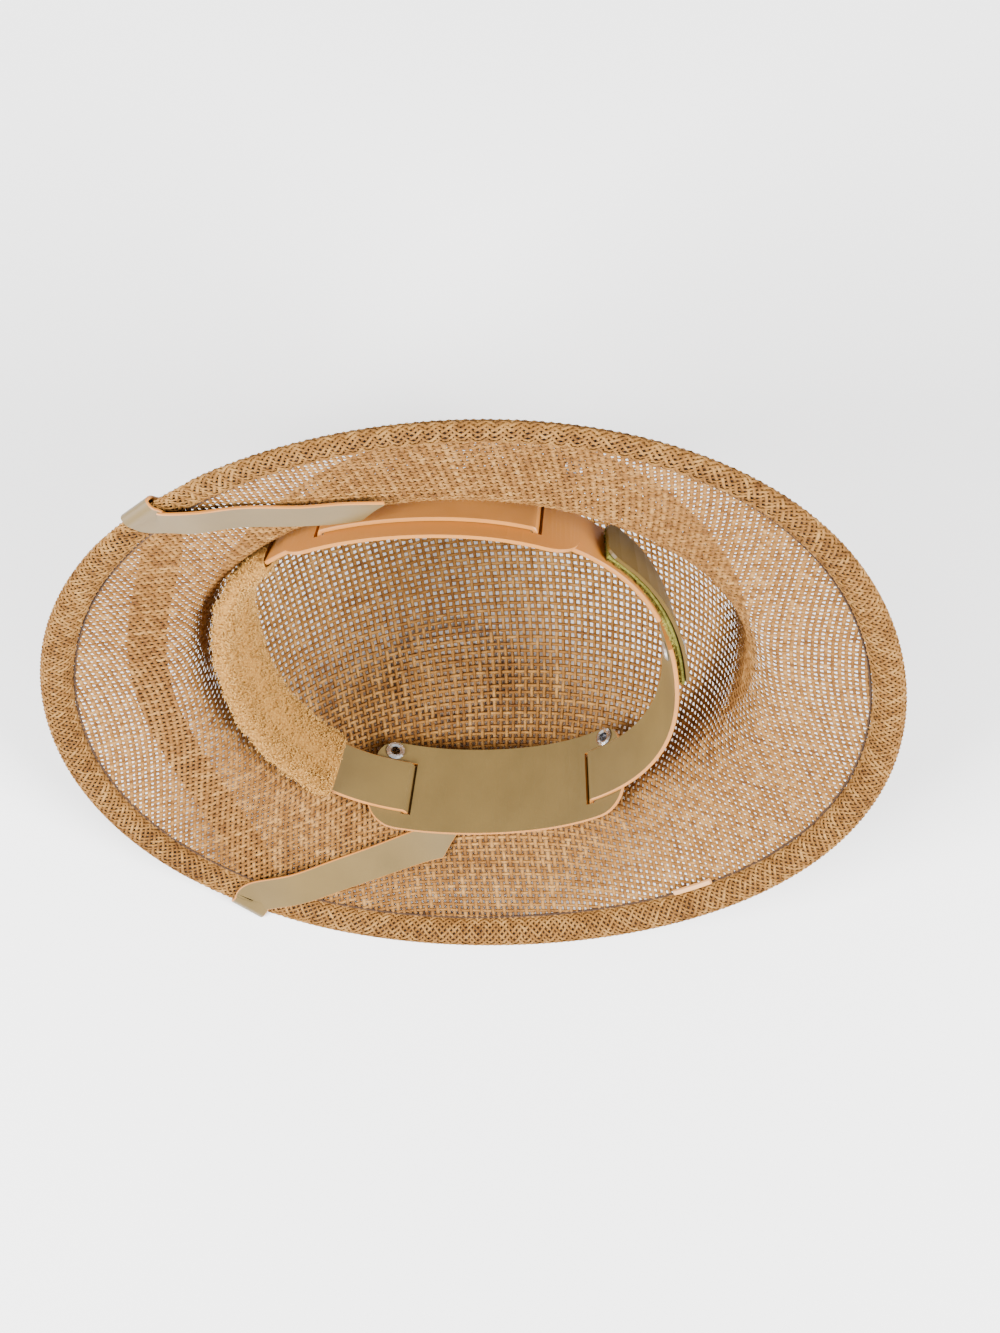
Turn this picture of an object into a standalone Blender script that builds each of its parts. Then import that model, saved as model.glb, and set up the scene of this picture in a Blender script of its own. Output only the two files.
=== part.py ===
"""Woven sun helmet with a wide oval brim, lying on its side.

The hat is drawn in its own frame first: +X to the rear, +Y to the wearer's left and
+Z out of the opening. It is then laid on the floor, where it rests on the edge of the
brim and on the side of the crown. Units are metres.
"""

import math

import bmesh
import bpy
import numpy as np
from mathutils import Matrix

# Brim and crown
BRIM_LENGTH = 0.355
BRIM_WIDTH = 0.309
THROAT_LENGTH = 0.226
THROAT_HALF_LEFT = 0.0920
THROAT_HALF_RIGHT = 0.0950
THROAT_SKEW = 0.014
CROWN_DEPTH = 0.104
CROWN_FULLNESS = 1.95
THROAT_FILLET = 0.018
BRIM_DROP_SIDE = 0.0155
BRIM_DROP_END = 0.0075
WEAVE_THICKNESS = 0.0012
HEM_WIDTH = 0.0135
HEM_THICKNESS = 0.0058

# Stretch of reed that shows at the hem: thickness, ends in degrees and share of the brim in from the hem
REED_THICKNESS = 0.0026
REED_START = -63.0
REED_END = -56.5
REED_FROM_HEM = 0.045

# Departure of the rim from a plain oval: order of the wave, share of the radius as cosine, as sine
RIM_WAVES = (
    (2, 0.003, 0.037),
    (3, -0.009, -0.022),
    (4, -0.012, -0.001),
)

# Pose on the floor, in degrees; the roll onto the side is worked out from the shape
LEAN_TO_FRONT = 11.0
TURN_ON_FLOOR = 2.1
FLAT_DEPTH = 0.0013

# Clearance between pieces
GAP = 0.0003

# Head band: base oval of the side plates and the strip that runs through them
BAND_FROM_THROAT_ENDS = 0.0175
BAND_FROM_THROAT_LEFT = 0.0065
BAND_FROM_THROAT_RIGHT = 0.0030
BAND_LENGTH = THROAT_LENGTH - 2 * BAND_FROM_THROAT_ENDS
BAND_HALF_LEFT = THROAT_HALF_LEFT - BAND_FROM_THROAT_LEFT
BAND_HALF_RIGHT = THROAT_HALF_RIGHT - BAND_FROM_THROAT_RIGHT
BAND_SQUARENESS = 0.05
BAND_SHIFT = -0.008
BAND_LEAN_LEFT = 5.0
BAND_LEAN_RIGHT = 12.0
BAND_LEAN_END = 16.0
BAND_THICKNESS = 0.0018
STRIP_WIDTH = 0.0240
STRIP_BELOW_THROAT = 0.0045

# Side plates
PLATE_LENGTH = 0.121
PLATE_SHIFT = 0.0065
PLATE_HEIGHT = 0.041
PLATE_THICKNESS = 0.0016
PLATE_ABOVE_THROAT = 0.0030
PLATE_CORNER_DEEP = 0.010
PLATE_CORNER_RIM = 0.014
SLIT_FROM_PLATE_END = 0.018
SLIT_SPACING = PLATE_LENGTH - 2 * SLIT_FROM_PLATE_END
SLIT_WIDTH = 0.0044
SLIT_CROSSING = 0.0032
EYELET_FROM_PLATE_END = 0.0085
EYELET_SPACING = PLATE_LENGTH - 2 * EYELET_FROM_PLATE_END
EYELET_FROM_DEEP_EDGE = 0.0047
EYELET_HOLE = 0.0042
EYELET_BARREL = 0.0052
EYELET_FLANGE = 0.0082
EYELET_PLATE = 0.0006
FLANGE_CLEARANCE = 0.0006
FLANGE_SEAT = 0.0006

# Adjustable closure at the rear
TAB_FROM_PLATE = 0.0110
TAB_TAIL = 0.012
TAB_THICKNESS = 0.0014
TAB_WIDTH = 0.0220
PILE_THICKNESS = 0.0026
PILE_WIDTH = 0.0200
STRIP_END_RIGHT = 8.0
STRIP_END_LEFT = 19.0
RIVET_HEAD = 0.0080
RIVET_SHAFT = 0.0036
RIVET_RISE = 0.0014
RIVET_FROM_STRIP_END = 0.013
TAB_CORNER = 0.006
END_ROUNDING = 0.98
CUTTER_INWARD = 0.005
CUTTER_OUTWARD = 0.007

# Terry sweat pad round the front of the strip
PAD_START = 128.0
PAD_END = 231.0
PAD_WALL = 0.0026
PAD_SPARE = 0.0006

# Chin strap
STRAP_WIDTH = 0.0158
STRAP_THICKNESS = 0.0014
STRAP_SPARE = 0.0012
STRAP_SPARE_AT_HEM = 0.0006
STRAP_SLANT = 0.0080
STRAP_SLANT_REACH = 0.030
STRAP_NEAR_RIM = -130.0
STRAP_FAR_RIM = -234.0

# The strap draws the soft hem in where it goes round it: share of the thickness, and reach in degrees
PINCH_SHARE = 0.62
PINCH_FLAT = 6.0
PINCH_END = 11.0

# Mesh steps
TURN_STEPS = 60
CROWN_STEPS = 11
FILLET_STEPS = 4
BRIM_STEPS = 4
HEM_SIDES = 12
PAD_SIDES = 12
TURNED_STEPS = 14
PAD_STEPS = 20
BAND_STEP = 0.008
PLATE_STEP = 0.006


def clear_scene():
    for old in list(bpy.data.objects):
        bpy.data.objects.remove(old, do_unlink=True)


# Curves of the hat, in its own frame

def rim_wave(turn):
    """Share of the plain oval's radius at each angle, from the short table of waves."""
    share = np.ones_like(turn)
    for order, cosine, sine in RIM_WAVES:
        share = share + cosine * np.cos(order * turn) + sine * np.sin(order * turn)
    return share


def throat_oval(turn):
    """Top of the crown wall in plan: an oval, a little skewed and wider on the lower side."""
    share = 1.0 + THROAT_SKEW * np.sin(2.0 * turn)
    half_width = np.where(np.sin(turn) < 0.0, THROAT_HALF_RIGHT, THROAT_HALF_LEFT)
    return np.stack([THROAT_LENGTH / 2 * share * np.cos(turn), half_width * share * np.sin(turn)], axis=-1)


def brim_edge(turn):
    """Inner line of the hem in plan, where the single cloth of the brim ends."""
    share = rim_wave(turn)
    half_length = BRIM_LENGTH / 2 - HEM_WIDTH
    half_width = BRIM_WIDTH / 2 - HEM_WIDTH
    return np.stack([half_length * share * np.cos(turn), half_width * share * np.sin(turn)], axis=-1)


def brim_drop(turn):
    """Height of the hem's inner line over the throat, in the sense of the opening."""
    return BRIM_DROP_SIDE + (BRIM_DROP_END - BRIM_DROP_SIDE) * np.cos(turn) ** 2


def hat_surface(turn, run):
    """Middle of the woven wall: run 0 to 1 is the crown, 1 to 2 the throat fillet, 2 to 3 the brim.

    The crown is a superellipse turned over the throat oval. The fillet is an arc from the upright
    wall to the slope of the brim, and the brim is straight from there to the hem.
    """
    turn, run = np.broadcast_arrays(np.asarray(turn, float), np.asarray(run, float))
    throat = throat_oval(turn)
    edge = brim_edge(turn)
    outward = edge - throat
    reach = np.linalg.norm(outward, axis=-1)
    outward = outward / reach[..., None]
    slope = np.arctan2(brim_drop(turn), reach)
    wall_top = -THROAT_FILLET * np.cos(slope)

    lift = np.clip(run, 0.0, 1.0) * math.pi / 2
    power = 2.0 / CROWN_FULLNESS
    ring = np.sin(lift) ** power
    crown_z = wall_top - (CROWN_DEPTH + wall_top) * np.cos(lift).clip(0.0) ** power

    bend = np.clip(run - 1.0, 0.0, 1.0) * (math.pi / 2 - slope)
    step_out = THROAT_FILLET * (1.0 - np.cos(bend))
    fillet_z = wall_top + THROAT_FILLET * np.sin(bend)

    fillet_end = THROAT_FILLET * (1.0 - np.sin(slope))
    along = np.clip(run - 2.0, 0.0, 1.0)
    brim_out = fillet_end + (reach - fillet_end) * along
    brim_z = brim_drop(turn) * along

    out = np.where(run > 2.0, brim_out, step_out)
    z = np.where(run > 2.0, brim_z, np.where(run > 1.0, fillet_z, crown_z))
    plan = throat * ring[..., None] + outward * out[..., None]
    return np.concatenate([plan, z[..., None]], axis=-1)


def surface_normal(turn, run, step=1e-3):
    """Unit normal of the woven wall, on the side of the opening."""
    run = np.clip(run, 4 * step, 3.0 - 4 * step)
    across = hat_surface(turn + step, run) - hat_surface(turn - step, run)
    along = hat_surface(turn, run + step) - hat_surface(turn, run - step)
    normal = np.cross(along, across)
    normal /= np.linalg.norm(normal, axis=-1, keepdims=True)
    return normal * np.where(normal[..., 2:3] < 0.0, -1.0, 1.0)


# Laying the hat on the floor

def turn_matrix(roll):
    lean = Matrix.Rotation(math.radians(-LEAN_TO_FRONT), 3, 'Y')
    turn = Matrix.Rotation(math.radians(TURN_ON_FLOOR), 3, 'Z')
    return np.array(turn @ lean @ Matrix.Rotation(roll, 3, 'X'))


def lowest_points(roll):
    """Lowest height of the hem and of the crown's outer side at one roll."""
    turn = np.linspace(0.0, 2.0 * math.pi, 720, endpoint=False)
    spin = turn_matrix(roll)
    hem = hem_ring(turn, HEM_SIDES * 4)
    run = np.linspace(0.3, 0.95, 80)
    grid_turn, grid_run = np.meshgrid(turn, run, indexing='ij')
    crown = hat_surface(grid_turn, grid_run) - surface_normal(grid_turn, grid_run) * WEAVE_THICKNESS / 2
    return (hem @ spin.T)[..., 2].min(), (crown @ spin.T)[..., 2].min()


def hem_thickness(turn):
    """Thickness of the hem at an angle: even, but drawn in under the chin strap's two crossings."""
    share = np.zeros_like(turn)
    for degrees in (STRAP_NEAR_RIM, STRAP_FAR_RIM):
        away = np.degrees(np.abs((turn - math.radians(degrees) + math.pi) % (2.0 * math.pi) - math.pi))
        share = np.maximum(share, np.clip((PINCH_END - away) / (PINCH_END - PINCH_FLAT), 0.0, 1.0))
    return HEM_THICKNESS * (1.0 - PINCH_SHARE * share * share * (3.0 - 2.0 * share))


def hem_ring(turn, sides):
    """Points of the rolled hem: an oval section carried round outside the brim's edge."""
    edge = hat_surface(turn, 3.0)
    slope = edge - hat_surface(turn, 2.5)
    outward = slope / np.linalg.norm(slope, axis=-1, keepdims=True)
    normal = surface_normal(turn, 2.9)
    around = np.linspace(0.0, 2.0 * math.pi, sides, endpoint=False)
    centre = edge + outward * (HEM_WIDTH / 2 + GAP)
    wide = outward[:, None, :] * (HEM_WIDTH / 2 * np.cos(around))[None, :, None]
    half_thick = hem_thickness(turn) / 2
    thick = normal[:, None, :] * (half_thick[:, None] * np.sin(around)[None, :])[..., None]
    return centre[:, None, :] + wide + thick


def find_roll():
    """Roll about the long axis at which the hem and the crown touch the floor together."""
    low, high = math.radians(30.0), math.radians(65.0)
    for _ in range(40):
        middle = (low + high) / 2
        hem, crown = lowest_points(middle)
        if crown < hem:
            low = middle
        else:
            high = middle
    return (low + high) / 2


ROLL = find_roll()
SPIN = turn_matrix(ROLL)
DROP = -min(lowest_points(ROLL)) - FLAT_DEPTH


def centre_shift():
    """Shift that puts the origin under the middle of the whole hat's box."""
    turn = np.linspace(0.0, 2.0 * math.pi, 720, endpoint=False)
    grid_turn, grid_run = np.meshgrid(turn, np.linspace(0.1, 1.0, 60), indexing='ij')
    crown = hat_surface(grid_turn, grid_run) - surface_normal(grid_turn, grid_run) * WEAVE_THICKNESS / 2
    points = np.concatenate([hem_ring(turn, HEM_SIDES * 4).reshape(-1, 3), crown.reshape(-1, 3)]) @ SPIN.T
    return (points.min(axis=0) + points.max(axis=0)) / 2


SHIFT = centre_shift()


def lay(points):
    """Take points from the hat's own frame to the floor frame."""
    points = np.asarray(points, float)
    laid = points @ SPIN.T
    laid[..., 0] -= SHIFT[0]
    laid[..., 1] -= SHIFT[1]
    laid[..., 2] += DROP
    return laid


# Making meshes

def make_object(name, verts, faces, colour, roughness, metallic=0.0, smooth=True):
    mesh = bpy.data.meshes.new(name)
    mesh.from_pydata([tuple(v) for v in verts], [], [tuple(f) for f in faces])
    mesh.validate()
    work = bmesh.new()
    work.from_mesh(mesh)
    bmesh.ops.recalc_face_normals(work, faces=work.faces)
    work.to_mesh(mesh)
    work.free()
    if smooth:
        mesh.shade_smooth()
        mesh.set_sharp_from_angle(angle=math.radians(35.0))
    thing = bpy.data.objects.new(name, mesh)
    bpy.context.scene.collection.objects.link(thing)
    thing.data.materials.append(make_material(name, colour, roughness, metallic))
    return thing


def make_material(name, colour, roughness, metallic):
    material = bpy.data.materials.new(name + "_finish")
    material.use_nodes = True
    shader = material.node_tree.nodes["Principled BSDF"]
    shader.inputs["Base Color"].default_value = (*colour, 1.0)
    shader.inputs["Roughness"].default_value = roughness
    shader.inputs["Metallic"].default_value = metallic
    return material


def grid_faces(rows, columns, wrap_rows=False, wrap_columns=True, start=0):
    """Quads of a grid of points that lies row by row, open or closed each way."""
    faces = []
    for row in range(rows if wrap_rows else rows - 1):
        for column in range(columns if wrap_columns else columns - 1):
            next_row = (row + 1) % rows
            next_column = (column + 1) % columns
            faces.append((start + row * columns + column, start + row * columns + next_column,
                          start + next_row * columns + next_column, start + next_row * columns + column))
    return faces


def tube_mesh(sections):
    """Closed solid from sections of equal point count, capped at both ends."""
    rows, columns = sections.shape[:2]
    faces = grid_faces(rows, columns)
    faces.append(tuple(range(columns)))
    faces.append(tuple(range((rows - 1) * columns, rows * columns)))
    return sections.reshape(-1, 3), faces


def ribbon_sections(centre, across, normal, width, thickness):
    """Four-cornered sections of a flat strap: width along across, thickness along normal."""
    sides = ((1, 1), (-1, 1), (-1, -1), (1, -1))
    return np.stack([centre + across * (w * width / 2) + normal * (t * thickness / 2) for w, t in sides], axis=1)


def cut_floor(thing):
    """Plane off what lies under the floor, which leaves a real flat face to rest on."""
    work = bmesh.new()
    work.from_mesh(thing.data)
    parts = list(work.verts) + list(work.edges) + list(work.faces)
    cut = bmesh.ops.bisect_plane(work, geom=parts, plane_co=(0.0, 0.0, 0.0), plane_no=(0.0, 0.0, -1.0),
                                 clear_outer=True)
    edges = [part for part in cut["geom_cut"] if isinstance(part, bmesh.types.BMEdge)]
    bmesh.ops.contextual_create(work, geom=edges)
    work.to_mesh(thing.data)
    work.free()


def make_cutter(name, verts, faces):
    cutter = make_object(name, verts, faces, (0.5, 0.5, 0.5), 0.5, smooth=False)
    cutter.hide_render = True
    cutter.display_type = 'WIRE'
    return cutter


def cut_with(thing, cutter):
    cut = thing.modifiers.new("Cut " + cutter.name, 'BOOLEAN')
    cut.operation = 'DIFFERENCE'
    cut.object = cutter


# Woven body and hem

def make_woven_body():
    turn = np.linspace(0.0, 2.0 * math.pi, TURN_STEPS, endpoint=False)
    crown_runs = np.linspace(0.0, 1.0, CROWN_STEPS + 1)[1:]
    fillet_runs = 1.0 + np.linspace(0.0, 1.0, FILLET_STEPS + 1)[1:]
    brim_runs = 2.0 + np.linspace(0.0, 1.0, BRIM_STEPS + 1)[1:]
    runs = np.concatenate([crown_runs, fillet_runs, brim_runs])
    grid_turn, grid_run = np.meshgrid(turn, runs, indexing='xy')
    middle = hat_surface(grid_turn, grid_run)
    normal = surface_normal(grid_turn, grid_run)
    inner = (middle + normal * WEAVE_THICKNESS / 2).reshape(-1, 3)
    outer = (middle - normal * WEAVE_THICKNESS / 2).reshape(-1, 3)
    top = np.array([[0.0, 0.0, -CROWN_DEPTH + WEAVE_THICKNESS / 2], [0.0, 0.0, -CROWN_DEPTH - WEAVE_THICKNESS / 2]])
    rows = len(runs)
    count = rows * TURN_STEPS
    faces = grid_faces(rows, TURN_STEPS)
    faces += grid_faces(rows, TURN_STEPS, start=count)
    for step in range(TURN_STEPS):
        ahead = (step + 1) % TURN_STEPS
        faces.append((2 * count, step, ahead))
        faces.append((2 * count + 1, count + step, count + ahead))
        last = (rows - 1) * TURN_STEPS
        faces.append((last + step, last + ahead, count + last + ahead, count + last + step))
    verts = lay(np.concatenate([inner, outer, top]))
    verts[:count, 2] = np.maximum(verts[:count, 2], WEAVE_THICKNESS)
    body = make_object("woven_body", verts, faces, (0.62, 0.44, 0.26), 0.8)
    cut_floor(body)
    return body


def hem_turns():
    """Angles of the hem's sections, with extra ones where the strap draws it in."""
    even = np.linspace(0.0, 360.0, TURN_STEPS, endpoint=False)
    offsets = np.array([-PINCH_END, -PINCH_FLAT, PINCH_FLAT, PINCH_END])
    extra = (np.concatenate([STRAP_NEAR_RIM + offsets, STRAP_FAR_RIM + offsets]) + 720.0) % 360.0
    apart = np.abs((even[:, None] - extra[None, :] + 180.0) % 360.0 - 180.0).min(axis=1)
    return np.radians(np.sort(np.concatenate([even[apart > 180.0 / TURN_STEPS / 2], extra])))


def make_rolled_hem():
    turn = hem_turns()
    points = hem_ring(turn, HEM_SIDES)
    faces = grid_faces(len(turn), HEM_SIDES, wrap_rows=True)
    hem = make_object("rolled_hem", lay(points.reshape(-1, 3)), faces, (0.60, 0.42, 0.24), 0.8)
    cut_floor(hem)
    return hem


def make_rim_reed():
    """Short stretch of the reed inside the rim that has worked out along the hem's inner edge."""
    turn = np.radians(np.linspace(REED_START, REED_END, 8))
    radius = REED_THICKNESS / 2
    surface = hat_surface(turn, 3.0 - REED_FROM_HEM)
    normal = surface_normal(turn, 3.0 - REED_FROM_HEM)
    centre = surface + normal * (WEAVE_THICKNESS / 2 + GAP + radius)
    along = np.gradient(centre, axis=0)
    along /= np.linalg.norm(along, axis=1, keepdims=True)
    across = np.cross(along, normal)
    around = np.linspace(0.0, 2.0 * math.pi, 8, endpoint=False)
    sections = centre[:, None] + radius * (across[:, None] * np.cos(around)[None, :, None]
                                           + normal[:, None] * np.sin(around)[None, :, None])
    verts, faces = tube_mesh(sections)
    return make_object("rim_reed", lay(verts), faces, (0.66, 0.38, 0.18), 0.7)


# Head band

def band_lean(turn):
    side = np.where(np.sin(turn) < 0.0, BAND_LEAN_RIGHT, BAND_LEAN_LEFT)
    return np.radians(side + (BAND_LEAN_END - side) * np.cos(turn) ** 2)


def band_oval(turn):
    """Base line of the band in plan: an oval, fuller between its axes, deeper on the lower side."""
    share = 1.0 + BAND_SQUARENESS * (1.0 - np.cos(4.0 * turn)) / 2
    half_width = np.where(np.sin(turn) < 0.0, BAND_HALF_RIGHT, BAND_HALF_LEFT)
    across = BAND_SHIFT + BAND_LENGTH / 2 * share * np.cos(turn)
    return np.stack([across, half_width * share * np.sin(turn), np.zeros_like(turn)], axis=-1)


def band_frame(turn, depth, offset):
    """Point, tangent, outward normal and deep-going direction of the band at an angle.

    The base oval lies at the throat. A point goes down by depth along a line that leans inward,
    and out by offset along the normal of that leaning surface.
    """
    turn, depth, offset = np.broadcast_arrays(np.asarray(turn, float), depth, offset)
    base = band_oval(turn)
    along = band_oval(turn + 1e-4) - band_oval(turn - 1e-4)
    along /= np.linalg.norm(along, axis=-1, keepdims=True)
    flat = np.stack([along[..., 1], -along[..., 0], np.zeros_like(turn)], axis=-1)
    lean = band_lean(turn)[..., None]
    up = np.array([0.0, 0.0, 1.0])
    down = -flat * np.sin(lean) - up * np.cos(lean)
    outward = flat * np.cos(lean) - up * np.sin(lean)
    point = base + down * depth[..., None] + outward * offset[..., None]
    return point, along, outward, down


TURN_TABLE = np.linspace(-2.0 * math.pi, 4.0 * math.pi, 3601)
ARC_TABLE = np.concatenate([[0.0], np.cumsum(np.linalg.norm(
    np.diff(band_frame(TURN_TABLE, 0.0, 0.0)[0], axis=0), axis=1))])


def arc_at(degrees):
    """Distance along the base oval at an angle in degrees."""
    return np.interp(math.radians(degrees), TURN_TABLE, ARC_TABLE)


def turn_at(arc):
    return np.interp(arc, ARC_TABLE, TURN_TABLE)


PLATE_MIDDLES = {"left": arc_at(90.0) - PLATE_SHIFT, "right": arc_at(270.0) + PLATE_SHIFT}
STRIP_OFFSET = PLATE_THICKNESS / 2 + GAP + BAND_THICKNESS / 2
STRIP_MIDDLE = STRIP_BELOW_THROAT + STRIP_WIDTH / 2
PILE_OFFSET = -STRIP_OFFSET + BAND_THICKNESS / 2 + GAP + PILE_THICKNESS / 2
TAB_OFFSET = PILE_OFFSET + PILE_THICKNESS / 2 + GAP + TAB_THICKNESS / 2


def strip_offset(arc):
    """The strip runs inside the plates but outside them between their two slits."""
    offset = np.full_like(arc, -STRIP_OFFSET)
    for middle in PLATE_MIDDLES.values():
        away = np.abs(arc - middle) - SLIT_SPACING / 2
        share = np.clip(0.5 - away / SLIT_CROSSING, 0.0, 1.0)
        offset = offset + 2.0 * STRIP_OFFSET * share * share * (3.0 - 2.0 * share)
    return offset


def band_ribbon(arcs, depth, offset, width, thickness, end_radius=0.0):
    """Sections of a flat piece that follows the band: its rulings run from the throat to the crown.

    With an end radius the corners are rounded: the width shrinks along a quarter circle there.
    """
    point, _, outward, down = band_frame(turn_at(arcs), depth, offset)
    half = np.full_like(arcs, width / 2)
    if end_radius > 0.0:
        inset = np.minimum(arcs - arcs[0], arcs[-1] - arcs)
        bite = np.clip(end_radius - inset, 0.0, end_radius)
        half = half - (end_radius - np.sqrt(end_radius ** 2 - bite ** 2)) * END_ROUNDING
    corners = ((1, 1), (-1, 1), (-1, -1), (1, -1))
    return np.stack([point + down * (w * half)[:, None] + outward * (t * thickness / 2) for w, t in corners], axis=1)


def spaced_arcs(start, end, step, extra=()):
    """Evenly spaced distances along the band, with closer ones where the piece bends or is rounded."""
    count = max(2, int(math.ceil((end - start) / step)) + 1)
    arcs = list(np.linspace(start, end, count))
    close = [value for value in extra if start < value < end]
    arcs = [value for value in arcs if all(abs(value - other) > step / 4 for other in close) or value in (start, end)]
    return np.array(sorted(arcs + close))


def slit_arcs():
    shares = (-0.5, -0.25, 0.0, 0.25, 0.5)
    return [middle + side * SLIT_SPACING / 2 + share * SLIT_CROSSING
            for middle in PLATE_MIDDLES.values() for side in (-1, 1) for share in shares]


def corner_arcs(start, end, radius):
    shares = (0.03, 0.12, 0.3, 0.6, 1.0)
    return [start + share * radius for share in shares] + [end - share * radius for share in shares]


def make_head_band():
    start = arc_at(STRIP_END_LEFT)
    end = arc_at(360.0 + STRIP_END_RIGHT)
    arcs = spaced_arcs(start, end, BAND_STEP, slit_arcs())
    sections = band_ribbon(arcs, STRIP_MIDDLE, strip_offset(arcs), STRIP_WIDTH, BAND_THICKNESS)
    verts, faces = tube_mesh(sections)
    return make_object("head_band", lay(verts), faces, (0.42, 0.34, 0.20), 0.5)


def plate_sections(middle):
    """Slab with round corners, larger at the edge by the throat than at the deep edge."""
    start, end = middle - PLATE_LENGTH / 2, middle + PLATE_LENGTH / 2
    extra = corner_arcs(start, end, PLATE_CORNER_DEEP) + corner_arcs(start, end, PLATE_CORNER_RIM)
    arcs = spaced_arcs(start, end, PLATE_STEP, extra)
    inset = np.minimum(arcs - start, end - arcs)
    edges = []
    for radius in (PLATE_CORNER_RIM, PLATE_CORNER_DEEP):
        bite = np.clip(radius - inset, 0.0, radius)
        edges.append(radius - np.sqrt(radius ** 2 - bite ** 2))
    rim = -PLATE_ABOVE_THROAT + edges[0]
    deep = PLATE_HEIGHT - PLATE_ABOVE_THROAT - edges[1]
    corners = ((deep, 1), (rim, 1), (rim, -1), (deep, -1))
    points = [band_frame(turn_at(arcs), depth, side * PLATE_THICKNESS / 2)[0] for depth, side in corners]
    return np.stack(points, axis=1)


def slit_cutter(name, arc):
    """Box through the plate, a little longer than the strip is wide."""
    reach = STRIP_WIDTH / 2 + 2 * GAP
    arcs = np.array([arc - SLIT_WIDTH / 2, arc + SLIT_WIDTH / 2])
    corners = ((1, 1), (-1, 1), (-1, -1), (1, -1))
    deep = PLATE_THICKNESS * 1.5
    points = [band_frame(turn_at(arcs), STRIP_MIDDLE + w * reach, t * deep)[0] for w, t in corners]
    verts, faces = tube_mesh(np.stack(points, axis=1))
    return make_cutter(name, lay(verts), faces)


def make_side_plate(side, eyelet_cutters):
    middle = PLATE_MIDDLES[side]
    verts, faces = tube_mesh(plate_sections(middle))
    plate = make_object("side_plate_" + side, lay(verts), faces, (0.42, 0.34, 0.20), 0.5)
    for number, end in enumerate((-1, 1)):
        cut_with(plate, slit_cutter(f"slit_{side}_{number}", middle + end * SLIT_SPACING / 2))
    for cutter in eyelet_cutters:
        cut_with(plate, cutter)
    return plate


# Turned pieces: eyelets and rivet

def turned_mesh(profile, centre, axis, steps, closed_ring):
    """Ring or solid turned from a profile of radius and height about an axis."""
    axis = np.asarray(axis, float) / np.linalg.norm(axis)
    side = np.cross(axis, [0.0, 0.0, 1.0] if abs(axis[2]) < 0.9 else [1.0, 0.0, 0.0])
    side /= np.linalg.norm(side)
    other = np.cross(axis, side)
    around = np.linspace(0.0, 2.0 * math.pi, steps, endpoint=False)
    ring = np.cos(around)[:, None] * side + np.sin(around)[:, None] * other
    radius = np.array([point[0] for point in profile])
    height = np.array([point[1] for point in profile])
    points = centre + ring[:, None, :] * radius[None, :, None] + axis * height[None, :, None]
    count = len(profile)
    faces = grid_faces(steps, count, wrap_rows=True, wrap_columns=closed_ring)
    if not closed_ring:
        faces.append(tuple(step * count for step in range(steps)))
        faces.append(tuple(step * count + count - 1 for step in range(steps)))
    return points.reshape(-1, 3), faces


def crown_height(turn):
    """Height of the top of the upright wall at an angle."""
    turn = np.array(turn)
    reach = np.linalg.norm(brim_edge(turn) - throat_oval(turn), axis=-1)
    return float(-THROAT_FILLET * np.cos(np.arctan2(brim_drop(turn), reach)))


def crown_side(point):
    """Negative inside the crown's middle surface, positive outside it."""
    half_width = THROAT_HALF_RIGHT if point[1] < 0.0 else THROAT_HALF_LEFT
    x, y = point[0] / (THROAT_LENGTH / 2), point[1] / half_width
    turn = math.atan2(y, x)
    top = crown_height(turn)
    ring = math.hypot(x, y) / (1.0 + THROAT_SKEW * math.sin(2.0 * turn))
    deep = max(0.0, (top - point[2]) / (CROWN_DEPTH + top))
    return ring ** CROWN_FULLNESS + deep ** CROWN_FULLNESS - 1.0


def eyelet_places(side):
    """Turn and depth of the two eyelets of a plate, front one first."""
    middle = PLATE_MIDDLES[side]
    depth = PLATE_HEIGHT - PLATE_ABOVE_THROAT - EYELET_FROM_DEEP_EDGE
    ends = (1, -1) if side == "left" else (-1, 1)
    return [(turn_at(middle + end * EYELET_SPACING / 2), depth) for end in ends]


def wall_distance(turn, depth):
    """Distance from the plate's middle to the middle of the crown wall, along the plate's normal."""
    low, high = 0.0, 0.03
    for _ in range(40):
        guess = (low + high) / 2
        if crown_side(band_frame(turn, depth, guess)[0]) < 0.0:
            low = guess
        else:
            high = guess
    return low


def make_eyelet(name, turn, depth):
    """Metal tube through the plate and the crown wall, with a flange at each end."""
    centre, _, outward, _ = band_frame(turn, depth, 0.0)
    inner = -PLATE_THICKNESS / 2 - FLANGE_SEAT
    outer = wall_distance(turn, depth) + WEAVE_THICKNESS / 2 + FLANGE_CLEARANCE
    hole, barrel, flange = EYELET_HOLE / 2, EYELET_BARREL / 2, EYELET_FLANGE / 2
    profile = (
        (hole, inner - EYELET_PLATE * 0.4),
        (hole + 0.5 * (flange - hole), inner - EYELET_PLATE),
        (flange, inner - EYELET_PLATE * 0.3),
        (flange, inner),
        (barrel, inner),
        (barrel, outer),
        (flange, outer),
        (hole + 0.5 * (flange - hole), outer + EYELET_PLATE),
        (hole, outer + EYELET_PLATE * 0.4),
    )
    verts, faces = turned_mesh(profile, centre, outward, TURNED_STEPS, True)
    return make_object(name, lay(verts), faces, (0.75, 0.76, 0.78), 0.25, 1.0)


def eyelet_cutter(name, turn, depth):
    centre, _, outward, _ = band_frame(turn, depth, 0.0)
    radius = EYELET_BARREL / 2 + GAP
    reach = wall_distance(turn, depth) + CUTTER_INWARD
    verts, faces = turned_mesh(((radius, -CUTTER_INWARD), (radius, reach)), centre, outward, TURNED_STEPS, False)
    return make_cutter(name, lay(verts), faces)


# Closure at the rear

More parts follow.
